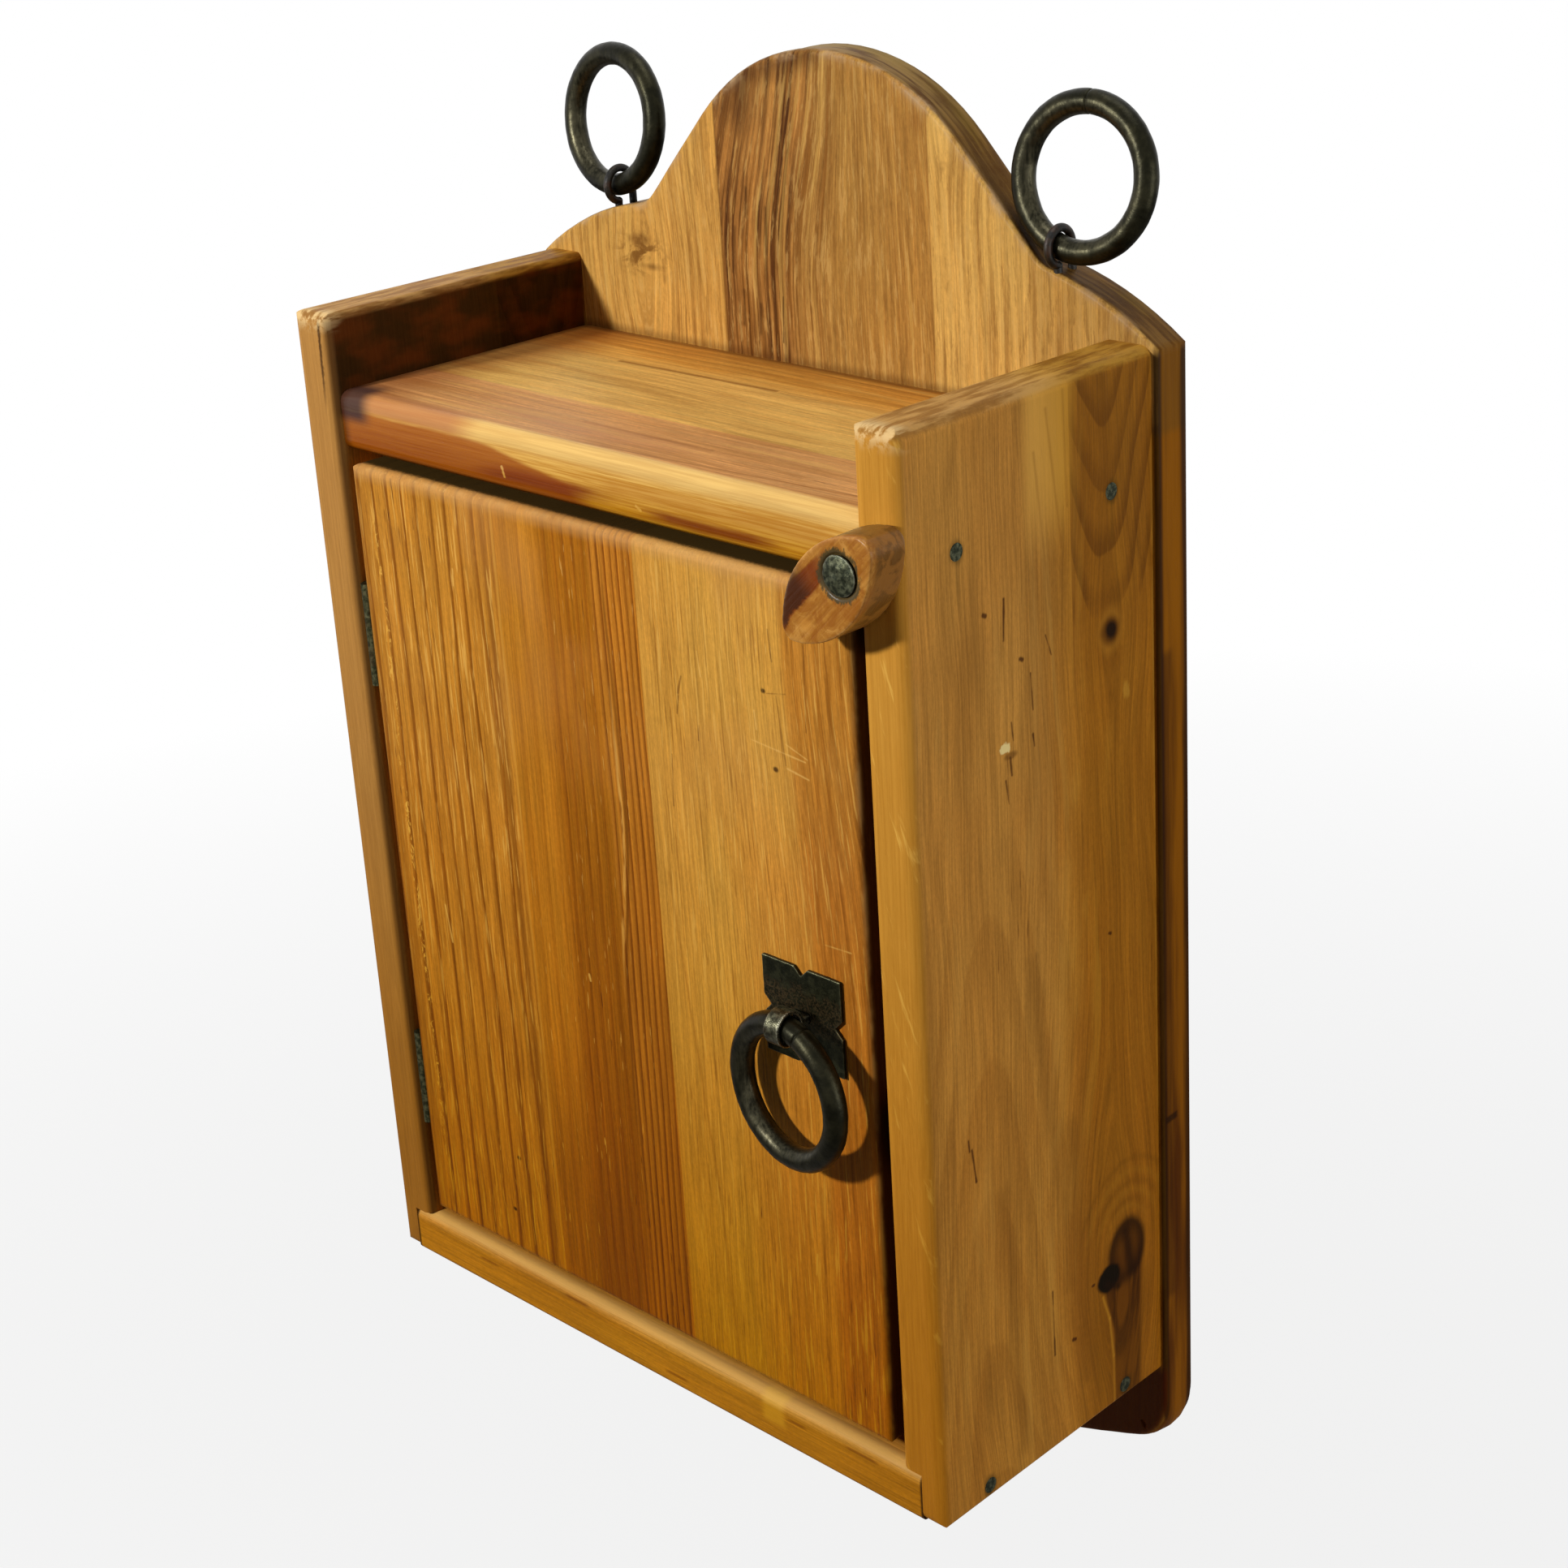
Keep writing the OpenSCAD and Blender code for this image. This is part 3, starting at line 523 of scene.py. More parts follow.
def nail_knots(w):
    """The figure by the lower rear nail: a brown disc, a black dead knot beside it and a flame under both."""
    sway = (w.noise(w.board, (0.07, 0.07, 0.03), 28, 3) - 0.5) * 5
    left = w.a - (-40.8 - w.along(26, 50) * 4.6 + w.along(50, 66) * 6)
    right = w.a - (-24.6 - w.along(60, 0) * 2.5) + sway * 0.4
    flame = w.step(-0.8, 0.8, left) * w.step(1.6, -1.6, right) * w.along(62, 54)
    lines = w.step(0.36, 0.62, w.noise(w.grain, (0.55, 0.55, 0.03), 29, 3, 0.6))
    w.paint(flame * (0.76 + w.along(10, 50) * 0.18), w.mix(lines, (64, 34, 10), (116, 70, 26)))
    # the disc, with rings of bent grain above it
    reach = (((w.a + 33.5 + sway * 0.3) / 10.5) ** 2 + ((w.g - 58) / 13.5) ** 2) ** 0.5
    disc = w.mix(w.step(0.3, 0.85, reach), (98, 58, 22), (44, 22, 6))
    w.paint(w.step(1.12, 0.82, reach) * w.along(42, 50) * 0.92, disc)
    w.marks(0.8, (38, 19, 6), 4, 0.8, ((-34, 66, -31, 50, 4.5),))
    for radii, low, strength, colour in (
            ((1.45, 1.95, 2.6), 66, 0.34, (112, 74, 28)), ((1.25, 1.7, 2.25), 62, 0.22, (196, 146, 74))):
        for k in radii:
            ring = w.between(k - 0.06, k + 0.06, reach + sway * 0.02, 0.24)
            w.paint(ring * w.along(low, low + 14) * strength, colour)
    # a pale line down the flame's left side, and the dead knot
    w.marks(0.7, (206, 152, 84), 1.2, 0, ((-46.8, 46, -43.4, 36, 1), (-43.4, 36, -41.6, 20, 1)))
    w.marks(0.6, (200, 144, 78), 1.2, 0, ((-41.6, 20, -41.4, 0, 1),))
    w.paint(w.blob(-43.5, 52, 7.2, 6, 0.25, 0.25, 7), (20, 12, 4))
    w.marks(0.8, (30, 15, 5), 2.5, 0.6, ((-44.5, 50, -38.5, 46.5, 3),))


def shelf_pine():
    w = Wood("shelf_pine", "yzx", 10, 4, box_mm("top_shelf"), specular=0.1)
    w.stave(0, w.growth((206, 148, 92), (176, 112, 62), 0.25, (-300, 330), 5, 0.9, 1))
    w.stave(-90.5, w.growth((216, 168, 92), (188, 130, 60), 0.25, (-420, 330), 7, 0.9, 2))
    rear = w.growth((206, 144, 62), (158, 94, 30), 0.45, (-220, 330), 5, 0.9, 3)
    w.paint(w.across(-50, -36), rear)
    w.body(0.5, 0.6, 0.3)
    w.streaks(w.noise(w.grain, (0.16, 0.16, 0.01), 22, 4, 0.65, 0.4),
              (0.5, 0.64, 0.35, (150, 92, 32)), (0.46, 0.34, 0.3, (228, 178, 96)))
    w.marks(0.7, (120, 66, 20), 1.4, 0.4, ((-45.5, -70, -44.6, 6, 1.6),))
    w.marks(0.4, (140, 84, 40), 1.4, 0.5, ((-106.5, -20, -107, 40, 1.2),))
    w.marks(0.5, (134, 80, 34), 1, 0.3, ((-126, -40, -116.5, 118, 0.9),))
    w.paint(w.blob(-112, -10, 9, 70, 0.7, 0.3, 2, 0.06) * 0.35, (178, 112, 76))
    # the left end, redder and darker: a red stain, with painted shade from the left wall
    w.paint(w.step(-84, -116, w.g + (w.cloud - 0.5) * 40) * 0.6, (134, 66, 26))
    nose = w.across(-123, -126)
    shelf_front(w, nose)
    w.gloss = nose * 1.2
    # painted shade: the shelf's end against the left wall, darker
    w.paint(w.along(-117, -121.5) * 0.6, (60, 26, 8))
    w.paint(w.across(-20, -15.5) * 0.6, (84, 42, 12))
    w.grade((0.68, 0.56, 0.09), (0.96, 1, 0.95), 324, 337, w.t)
    return w.seal(0.4, 0.12)


def shelf_front(w, nose):
    """The shelf's rounded front: a pale ridge above with a painted highlight, red-brown patches below, and
    painted shade along its lower edge.
    """
    w.paint(nose, w.mix(w.step(0.35, 0.65, w.fibre), (190, 130, 48), (222, 170, 88)))
    rag = (w.noise(w.board, (0.05, 0.16, 0.03), 21, 3) - 0.5) * 9
    along = w.g + rag * 2
    slope = w.t + rag * 0.35 + w.along(-62, 0) * 7
    reds = w.step(338, 336, slope) * w.step(10, -6, along)
    w.paint(reds * nose * 0.92, w.mix(w.fibre, (134, 60, 8), (176, 98, 28)))
    deep = w.step(3.4, 0.8, w.size(w.t - 328 + rag * 0.25)) * w.between(-44, 8, along, 26)
    deeper = w.step(2.6, 0.7, w.size(w.t - 326.4 + rag * 0.2)) * w.between(32, 84, along, 20)
    w.paint(w.most(deep, deeper) * nose * 0.85, w.mix(w.fibre, (104, 40, 8), (150, 68, 22)))
    gold = w.between(330, 335, w.t + rag * 0.3, 2) * w.between(12, 110, w.g, 10)
    w.paint(nose * gold * 0.4, (184, 120, 44))
    # painted highlight: paler along the top of the ridge
    w.paint(nose * w.through(335.5, 339) * w.along(-70, -46) * 0.5, (232, 192, 124))
    # the left corner, with its grey-purple stain
    left = w.across(-120, -124) * w.along(-46, -66) * w.through(336.5, 338.5)
    w.paint(left * 0.85, (182, 118, 74))
    stain = w.along(-104, -113) * w.across(-112, -122) * w.through(331, 336)
    w.paint(stain * 0.9, (48, 34, 38))
    for start, end in (((-38, 330), (-37, 327)), ((26, 328), (28, 327))):
        off = w.away(w.g, w.t, start, end) + (w.grit - 0.5)
        w.paint(nose * w.step(0.8, 0.2, off) * 0.7, (236, 190, 130))
    # painted shade: the lower arris, dark above the gap over the door
    w.paint(w.through(324.5, 322.8) * nose * 0.8, (70, 32, 8))


def bottom_pine():
    w = Wood("bottom_pine", "yzx", 10, 6, box_mm("bottom_board"))
    w.stave(0, w.growth((188, 134, 52), (150, 94, 28), 0.6, (-300, 9), 6, 0.7, 1))
    w.body(0.5, 0.6, 0.3)
    front = w.across(-124, -128)
    w.paint(front * w.step(15.2, 17.4, w.t + (w.hair - 0.5) * 1.5) * 0.8, (212, 164, 88))
    # painted shade: the board's top under the door, darker behind its front
    w.paint(w.across(-127, -120) * w.through(16.5, 17.5) * 0.5, (120, 70, 22))
    # dark marks across the front, each at a place along it, a height and half a length
    for g, t, half in ((14, 5, 5), (-38, 14.5, 6), (74, 12, 4), (104, 13.5, 7), (-88, 11, 5)):
        mark = w.step(0.9, 0.2, w.size(w.t - t)) * w.step(half + 2, half - 2, w.size(w.g - g))
        w.paint(front * mark * 0.6, (118, 62, 16))
    w.paint(front * w.blob(-131, 63, 30, 7, 0.5, 0.3, 3) * w.through(6, 9) * 0.6, (222, 172, 76))
    w.paint(w.through(2.2, 0.4) * 0.6, (104, 58, 14))
    w.paint(w.step(129.6, 130.6, w.size(w.g)) * 0.9, (40, 18, 4))
    w.grade((0.84, 0.7, 0.16), (1, 1, 1), 13, 16, w.t)
    return w.seal(0.4, 0.1)


def back_pine():
    w = Wood("back_pine", "xyz", 11, 8, knots=[(-88, 372, 7), (58, 432, 4)],
             lean=((366, 476), (-46.6, 30, -4), 19))
    core = -7
    w.stave(0, w.growth((212, 162, 90), (170, 116, 54), 0.3, (-400, core), 4.6, 0.8, 1))
    w.stave(-46.5, w.growth((186, 138, 74), (150, 102, 52), 0.35, (380, core), 3.6, 0.8, 2))
    # the dark heart stave, whose lines lean to the right as they rise
    comb = w.noise(w.grain, (0.42, 0.3, 0.009), 33, 5, 0.72)
    patchy = w.noise(w.board, (0.05, 0.05, 0.018), 34, 3, 0.6)
    heart = w.mix(w.step(0.4, 0.6, comb * 0.75 + patchy * 0.25), (84, 48, 22), (190, 134, 74))
    fan = w.mix(w.step(0.4, 0.6, comb), (148, 100, 50), (200, 154, 90))
    seam = w.across(-46.7, -46.3)
    w.paint(w.step(10, -2, w.wa) * seam * 0.85, fan)
    w.paint(w.step(-8, -17, w.wa) * seam, heart)
    w.paint(w.step(-36, -44, w.wa) * seam * 0.2, (92, 56, 30))
    w.stave(51, w.growth((222, 176, 104), (190, 140, 70), 0.3, (420, core), 5.2, 0.8, 3))
    w.body(0.6, 0.6, 0.26)
    w.streaks(w.noise(w.grain, (0.3, 0.3, 0.01), 35, 3, 0.6),
              (0.52, 0.66, 0.4, (138, 86, 34)), (0.42, 0.32, 0.35, (232, 184, 106)))
    w.streaks(w.noise(w.grain, (0.5, 0.5, 0.06), 37, 4, 0.7),
              (0.53, 0.62, 0.36, (228, 184, 118)), (0.46, 0.36, 0.34, (118, 72, 30)))
    # knots by the left ring, and one near the crest
    figure = w.noise(w.board, (0.1, 0.1, 0.16), 36, 4, 0.6, 1.2)
    w.paint(w.blob(-88, 373, 20, 11, 0.9, 0.3, 6) * w.step(0.42, 0.58, figure) * 0.85, (112, 68, 26))
    w.paint(w.blob(-90, 378, 8, 3.5, 0.9, 0.7, 7) * 0.6, (104, 60, 22))
    w.paint(w.blob(-84, 369, 9, 2.2, 0.9, 0.7, 8) * 0.6, (98, 56, 20))
    w.paint(w.blob(47, 431, 5, 6, 0.8, 0.5, 6) * 0.4, (140, 86, 38))
    # dark soaked grain under the crest, and short cracks below it
    w.marks(0.6, (70, 34, 10), 9, 3, ((-36, 439, 0, 449, 7),))
    w.paint(w.blob(-34, 432, 14, 16, 0.9, 0.5, 9) * seam * 0.55, (72, 36, 14))
    w.marks(0.8, (60, 28, 8), 0.7, 0.4, ((-19, 350, -18, 366, 0.6),))
    w.marks(0.6, (56, 26, 8), 1.6, 0.6, (
        (-42, 372, -40, 388, 1), (-34, 392, -33, 402, 1), (-38, 354, -37, 366, 1),
        (-25, 380, -24, 396, 1), (-30, 352, -29, 362, 1)))
    w.paint(w.between(-47, -46.3, w.a, 0.5) * 0.5, (84, 44, 14))
    w.paint(w.between(50.6, 51.4, w.a, 0.5) * 0.3, (120, 72, 26))
    # a darker band where the tray's shelf meets the board
    w.paint(w.along(347, 343.5) * 0.45, (96, 50, 14))
    rear = w.step(-0.42, -0.2, w.y)
    back_rim(w, w.step(0.05, 0.6, w.attribute("rim")) * (1 - rear))
    wear = w.attribute("wear") * w.step(368, 376, w.z)
    rub = w.noise(w.board, (0.1, 0.3, 0.1), 61, 4, 0.65)
    w.paint(wear * w.step(0.42, 0.66, rub) * 0.75, (196, 162, 132))
    w.gloss = wear * 0.5
    # painted shade: the tail's front under the box, painted dark as the box shades it
    w.paint(w.step(4, -3, w.z) * w.step(-13.5, -14.9, w.y) * 0.9, (90, 36, 14))
    w.grade((0.98, 0.84, 0.24), (0.76, 0.735, 0.575), 340, 344)
    w.grade((1.03, 1.05, 1.06), (0.8, 0.78, 0.76), 78, 112, w.a)
    # dusty back, never oiled
    w.paint(rear * 0.88, w.mix(w.step(0.3, 0.7, w.fibre), (134, 98, 58), (186, 148, 102)))
    w.paint(rear * w.step(0.46, 0.64, w.cloud) * 0.35, (112, 84, 54))
    return w.seal(0.46, 0.14)


def back_rim(w, rim):
    """Sawn edges: end grain and the long sides go dark, with painted light towards the top."""
    lengthways = w.noise(w.board, (0.05, 0.5, 0.02), 52, 3)
    stray = lengthways - 0.5
    w.paint(rim * 0.9, w.mix(w.step(0.4, 0.66, lengthways), (92, 58, 24), (146, 106, 56)))
    # beside and below the box they are browner, and black next to the wall
    low = rim * w.step(371, 366, w.z)
    blotch = w.step(0.35, 0.65, w.noise(w.board, (0.05, 0.16, 0.012), 53, 3))
    w.paint(low * 0.95, w.mix(blotch, (92, 50, 6), (150, 96, 20)))
    # painted light: the edges beside the box lighter towards the top
    w.paint(low * w.step(140, 300, w.z) * 0.45, (176, 118, 34))
    w.paint(low * w.step(-4.5, -2, w.y + stray * 3) * 0.85, (36, 17, 5))
    # a yellower band round the crest, on the wall's side
    crest = w.step(374, 382, w.z) * w.step(-9, -3, w.y + stray * 10) * w.step(0.42, 0.6, w.cloud)
    w.paint(rim * crest * 0.6, (164, 134, 56))
    line = w.between(-15.5, -9.5, w.y + stray * 6, 3)
    w.paint(rim * w.stroke((142.5, 60), (142.5, 240), 60, 4) * line * 0.5, (52, 24, 6))
    # a crack across the right edge
    crack = w.step(1.9, 0.7, w.size(w.z - 100.5)) * w.step(-6.5, -8.5, w.y) * w.step(0, 1, w.x)
    w.paint(rim * crack * 0.8, (30, 14, 5))
    # painted light: the edges over the crest's top lighter, where they face up
    w.paint(rim * w.step(425, 440, w.z) * w.step(0.34, 0.6, lengthways) * 0.5, (178, 146, 96))
    arris = w.step(140.2, 141.2, w.size(w.x)) * w.step(-12.5, -14, w.y)
    w.paint(arris * w.step(371, 366, w.z) * 0.85, (44, 20, 6))


def button_pine():
    w = Wood("button_pine", "xyz", 6, 10, specular=0.16)
    # the grain runs along the button, which hangs at 45 degrees
    middle_x, _, middle_z = middle_mm("turn_button")
    slant = math.sqrt(0.5)
    u = (w.x - middle_x) * slant + (w.z - middle_z) * slant
    v = (w.z - middle_z) * slant - (w.x - middle_x) * slant
    flow = w.vector(v, w.y, u)
    grain = w.noise(flow, (0.9, 0.9, 0.05), 91, 4, 0.6)
    bend = v + (w.noise(flow, (0.04, 0.04, 0.02), 92, 2) - 0.5) * 12
    mottle = w.noise(w.board, (0.14, 0.14, 0.14), 93, 4, 0.65, 0.8)
    w.colour = w.mix(w.step(0.25, 0.75, grain), (148, 94, 36), (178, 124, 56))
    w.streaks(mottle, (0.47, 0.6, 0.6, (140, 80, 22)), (0.46, 0.34, 0.4, (208, 156, 88)))
    # the dark figure
    w.paint(w.between(2.6, 10.5, bend, 1.4) * w.step(13, 0, u) * 0.9, (112, 46, 8))
    w.paint(w.between(3, 13, bend + (mottle - 0.5) * 6, 1.2) * w.step(0, -9, u) * 0.85, (52, 26, 12))
    w.paint(w.blob(116, 313, 4, 3, 0.7, 0.3, 2) * 0.4, (206, 146, 70))
    sides = w.step(-145, -142.5, w.y)
    w.paint(sides * 0.8, w.mix(w.step(0.42, 0.58, mottle), (88, 56, 20), (142, 96, 44)))
    w.paint(sides * w.blob(131, 344, 9, 16, 0.6, 0.5, 4) * 0.6, (96, 74, 36))
    # rubbed arrises, and the nail's stain round its head
    nail_x, _, nail_z = middle_mm("button_nail")
    from_nail = ((w.x - nail_x) ** 2 + (w.z - nail_z) ** 2) ** 0.5
    wear = w.attribute("wear") * w.step(8.5, 10.5, from_nail)
    w.paint(wear * w.step(0.35, 0.6, w.fibre) * 0.6, (214, 168, 112))
    stain = w.step(8.7, 7.7, from_nail + (w.grit - 0.5) * 5) * w.step(-139, -141, w.y)
    w.paint(stain * 0.88, (60, 58, 40))
    w.paint(1, (1, 0.95, 0.72, 1), "MULTIPLY")
    return w.finish(w.colour, 0.3 + (grain - 0.5) * 0.15, grain + w.fibre * 0.3, 0.14)


def iron(name, dark, patina, bright, rough, specular, shine, metallic, rust=0, scale=1):
    """Blackened iron: mottled, with a greenish bloom, rubbed bright where the wear attribute says so; that
    brightness is partly a painted highlight.
    """
    s = Skin(name, specular, metallic)
    mottle = s.noise(s.place, (0.35 * scale,) * 3, 3, 4, 0.6)
    pits = s.noise(s.place, (1.6 * scale,) * 3, 5, 3, 0.6)
    scratch = s.noise(s.place, (2.6 * scale, 2.6 * scale, 0.25 * scale), 7, 2, 0.6)
    colour = s.mix(s.step(0.4, 0.64, mottle), dark, patina)
    colour = s.shade(colour, 0.75 + pits * 0.5)
    if rust:
        rusty = s.step(0.5, 0.66, s.noise(s.place, (0.16 * scale,) * 3, 9, 4))
        colour = s.mix(rusty * rust, colour, (84, 52, 30))
    if name == "plate_iron":
        # a browner band across the pull's plate
        height = s.z + (mottle - 0.5) * 14
        band = s.step(166, 172, height) * s.step(184, 178, height) * s.step(-131, -131.3, s.y)
        colour = s.mix(band * s.step(0.4, 0.6, pits) * 0.7, colour, (92, 74, 48))
    # rubbed metal and painted highlight: the bright colour where the wear attribute is high
    rubbed = s.attribute("wear") * s.step(0.3, 0.62, scratch * 0.6 + mottle * 0.4) * shine
    colour = s.mix(rubbed, colour, bright)
    relief = pits * 0.6 + mottle * 0.4 - scratch * 0.15
    return s.finish(colour, rough + (pits - 0.5) * 0.3 - rubbed * 0.15, relief, 0.14)


def node_materials():
    """Every CAD node's material."""
    bottom = bottom_pine()
    found = {
        "door": door_pine(),
        "side_right": side_pine("side_pine_right", "side_right", 2, True),
        "side_left": side_pine("side_pine_left", "side_left", 3, False),
        "top_shelf": shelf_pine(),
        "bottom_board": bottom,
        "door_stop": bottom,
        "back_board": back_pine(),
        "turn_button": button_pine(),
    }
    # what iron takes for each metal, and the nodes made of it
    metals = (
        (("ring_iron", (24, 23, 13), (38, 36, 23), (108, 102, 80), 0.38, 0.25, 0.32, 0.85, 0, 0.4),
         ("pull_ring", "hang_ring_left", "hang_ring_right")),
        (("plate_iron", (28, 29, 16), (52, 52, 34), (170, 168, 130), 0.38, 0.2, 0.9, 0.85),
         ("pull_plate",)),
        (("strap_steel", (44, 43, 30), (92, 90, 70), (214, 210, 188), 0.3, 0.3, 0.9, 0.85, 0.2, 1.6),
         ("pull_strap",)),
        (("nail_iron", (34, 38, 24), (84, 86, 64), (214, 214, 190), 0.38, 0.2, 0.8, 0.7, 0, 1.8),
         ("side_nails_left", "side_nails_right", "back_nails", "button_nail")),
        (("wire_iron", (12, 10, 7), (30, 27, 20), (90, 86, 74), 0.45, 0.35, 0.4, 0.35, 0.3, 1.5),
         ("staple_left", "staple_right")),
        (("hinge_steel", (48, 50, 30), (100, 98, 68), (200, 190, 148), 0.38, 0.2, 0.8, 0.8, 0.3, 1.6),
         ("frame_leaf_upper", "frame_leaf_lower", "hinge_pin_upper", "hinge_pin_lower",
          "frame_leaf_screws", "door_leaf_upper", "door_leaf_lower", "door_leaf_screws")),
    )
    for look, names in metals:
        metal = iron(*look)
        found.update({name: metal for name in names})
    return found


MATERIALS = node_materials()
for name, piece in NODES.items():
    piece.data.materials.clear()
    piece.data.materials.append(MATERIALS[name])


# ---------------------------------------------------------------- pieces made here

BODY_OF = {n: body for body, members in frame["record"]["behaviour"]["bodies"].items() for n in members}

# The back board's tail: radius of its lower edge, and how wide its corners are worn mid thickness and at the
# faces. Two middling corners guide the worn edge as a whole.
TAIL_ARC = 350 * MM
TAIL_CORNER = 18
CORNER_MIDDLE, CORNER_FACE = 13, 25


def lump(*place):
    """Smooth noise from 0 to 1 at a place."""
    return 0.5 + 0.5 * pattern.noise(Vector(place))


def stand_in(name, node, verts, faces, wear, rim=None):
    """Adds a piece that stands for a CAD node, rides where it rides and shares its material."""
    mesh = bpy.data.meshes.new(name)
    mesh.from_pydata([tuple(v) for v in verts], [], [tuple(f) for f in faces])
    mesh.validate()
    for key, values in (("wear", wear), ("rim", rim)):
        if values is not None:
            data = mesh.attributes.new(key, "FLOAT", "POINT").data
            data.foreach_set("value", np.asarray(values, np.float32))
    bm = bmesh.new()
    bm.from_mesh(mesh)
    bmesh.ops.recalc_face_normals(bm, faces=bm.faces)
    bm.to_mesh(mesh)
    bm.free()
    mesh.polygons.foreach_set("use_smooth", [True] * len(mesh.polygons))
    mesh.materials.append(MATERIALS[node])
    piece = bpy.data.objects.new(name, mesh)
    bpy.context.scene.collection.objects.link(piece)
    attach(piece, BODY_OF[node])
    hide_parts(node)
    return piece


def back_outline():
    """The back board's outline on its rear face: (x, z) in metres, anticlockwise from in front."""
    bm = bmesh.new()
    bm.from_mesh(NODES["back_board"].data)
    bmesh.ops.remove_doubles(bm, verts=bm.verts, dist=1e-6)
    rear = {f for f in bm.faces if all(abs(v.co.y) < 1e-6 for v in f.verts)}
    follow = {}
    for e in bm.edges:
        if sum(f in rear for f in e.link_faces) == 1:
            for v in e.verts:
                follow.setdefault(v, []).append(e.other_vert(v))
    # the rear face is bounded by the outline and by its nail holes, and the outline has the most points
    loops = []
    left = set(follow)
    while left:
        here = min(left, key=lambda v: (v.co.x, v.co.z))
        loop = []
        while here is not None:
            left.discard(here)
            loop.append((here.co.x, here.co.z))
            here = next((v for v in follow[here] if v in left), None)
        loops.append(loop)
    bm.free()
    loop = np.array(max(loops, key=len))
    area = np.sum(loop[:, 0] * np.roll(loop[:, 1], -1) - np.roll(loop[:, 0], -1) * loop[:, 1])
    return loop if area > 0 else loop[::-1]


def spaced(loop, gap):
    """The closed run with a point at least every gap, corners kept."""
    out = []
    for a, b in zip(loop, np.roll(loop, -1, 0)):
        parts = max(1, int(np.ceil(np.linalg.norm(b - a) / gap)))
        out += [a + (b - a) * i / parts for i in range(parts)]
    return np.array(out)


def inwards(loop):
    """For each point, the step that moves both its edges inwards by one."""
    ahead = np.roll(loop, -1, 0) - loop
    ahead /= np.linalg.norm(ahead, axis=1)[:, None]
    normal = np.stack([-ahead[:, 1], ahead[:, 0]], 1)
    both = normal + np.roll(normal, 1, 0)
    return both * (2 / np.maximum(np.sum(both * both, 1), 1))[:, None]


def rounded_tail(loop, radius):
    """The outline with the tail's lower corners worn to a wider curve than the CAD outline's."""
    half = loop[:, 0].max()
    low = loop[:, 1].min()
    out = loop.copy()
    for i, (x, z) in enumerate(loop):
        cx = math.copysign(half - radius, x)
        cz = low + TAIL_ARC - math.sqrt((TAIL_ARC - radius) ** 2 - cx ** 2)
        away = math.hypot(x - cx, z - cz)
        meets = abs(cx) / (TAIL_ARC - radius)
        if z < cz and abs(x) - abs(cx) > meets * away and away > radius:
            out[i] = (cx + (x - cx) * radius / away, cz + (z - cz) * radius / away)
    return out


def back_board_worn():
    """The back board with rubbed front arrises, slightly wavy sawn edges and worn tail corners."""
    outline = spaced(back_outline(), 2.5 * MM)
    loop = rounded_tail(outline, TAIL_CORNER * MM)
    push = inwards(loop)
    thick = -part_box("back_board")[0].y
    bevel = 1.1 * MM + 1.1 * MM * np.array([lump(x * 45, z * 45, 3.1) for x, z in loop])
    # rows of points from the wall to the front: the share of the bevel and the mm inwards, the share of
    # the bevel and the mm behind the front, how worn, how much of the rim's look, and 1 if sawn rough
    rows = [
        (0, 1.1, 0, thick / MM - 0.15, 0, 1, 0),
        (0, 0.35, 0, thick / MM - 0.45, 0.2, 1, 0),
        (0, 0, 0, thick / MM - 1.3, 0, 1, 0),
        (0, 0.05, 0, 10.5, 0, 1, 1),
        (0, 0.12, 0, 6.5, 0, 1, 1),
        (0, 0, 1.6, 0, 0, 1, 0),
        (0, 0, 1, 0, 0.5, 0.8, 0),
        (0.13, 0, 0.6, 0, 1, 0.3, 0),
        (0.35, 0, 0.27, 0, 1, 0, 0),
        (0.70, 0, 0.07, 0, 1, 0, 0),
        (1, 0, 0, 0, 0.7, 0, 0),
        (1, 1.6, 0, 0, 0.12, 0, 0),
        (1, 4, 0, 0, 0, 0, 0),
    ]
    verts, wear, rim = [], [], []
    for share, inset_mm, deep, deep_mm, worn, rim_look, sawn in rows:
        inset = share * bevel + inset_mm * MM
        depth = deep * bevel + deep_mm * MM
        if sawn:
            inset += 0.2 * MM * np.array([lump(x * 160, z * 160, deep_mm) for x, z in loop])
        # the tail's corners are rubbed round both ways, so their curve is tightest mid thickness
        from_middle = 2 * depth.mean() / thick - 1
        corner = (CORNER_MIDDLE + (CORNER_FACE - CORNER_MIDDLE) * from_middle ** 2) * MM
        flat = rounded_tail(outline, corner) + push * inset[:, None]
        verts += [(x, -thick + d, z) for (x, z), d in zip(flat, depth)]
        wear += [worn] * len(loop)
        rim += [rim_look] * len(loop)
    n, last = len(loop), len(rows) - 1
    faces = [(row * n + i, row * n + (i + 1) % n, (row + 1) * n + (i + 1) % n, (row + 1) * n + i)
             for row in range(last) for i in range(n)]
    faces.append(range(n - 1, -1, -1))
    faces.append(range(last * n, (last + 1) * n))
    piece = stand_in("back_board_worn", "back_board", verts, faces, wear, rim)
    for p in piece.data.polygons:
        p.use_smooth = len(p.vertices) == 4


def ring_shape(node):
    """A CAD ring's centre, the directions of its axis, top and side, and its radius and its bar's."""
    data = NODES[node].data
    points = np.zeros(len(data.vertices) * 3)
    data.vertices.foreach_get("co", points)
    points = points.reshape(-1, 3)
    centre = points.mean(0)
    _, _, axes = np.linalg.svd(points - centre, full_matrices=False)
    normal = axes[2] * (1 if axes[2][1] < 0 else -1)
    flat = points - centre
    flat -= np.outer(flat @ normal, normal)
    reach = np.linalg.norm(flat, axis=1)
    up = np.array([0, 0, 1]) - normal * normal[2]
    up /= np.linalg.norm(up)
    ring_r, bar_r = (reach.max() + reach.min()) / 2, (reach.max() - reach.min()) / 2
    return centre, normal, up, np.cross(up, normal), ring_r, bar_r


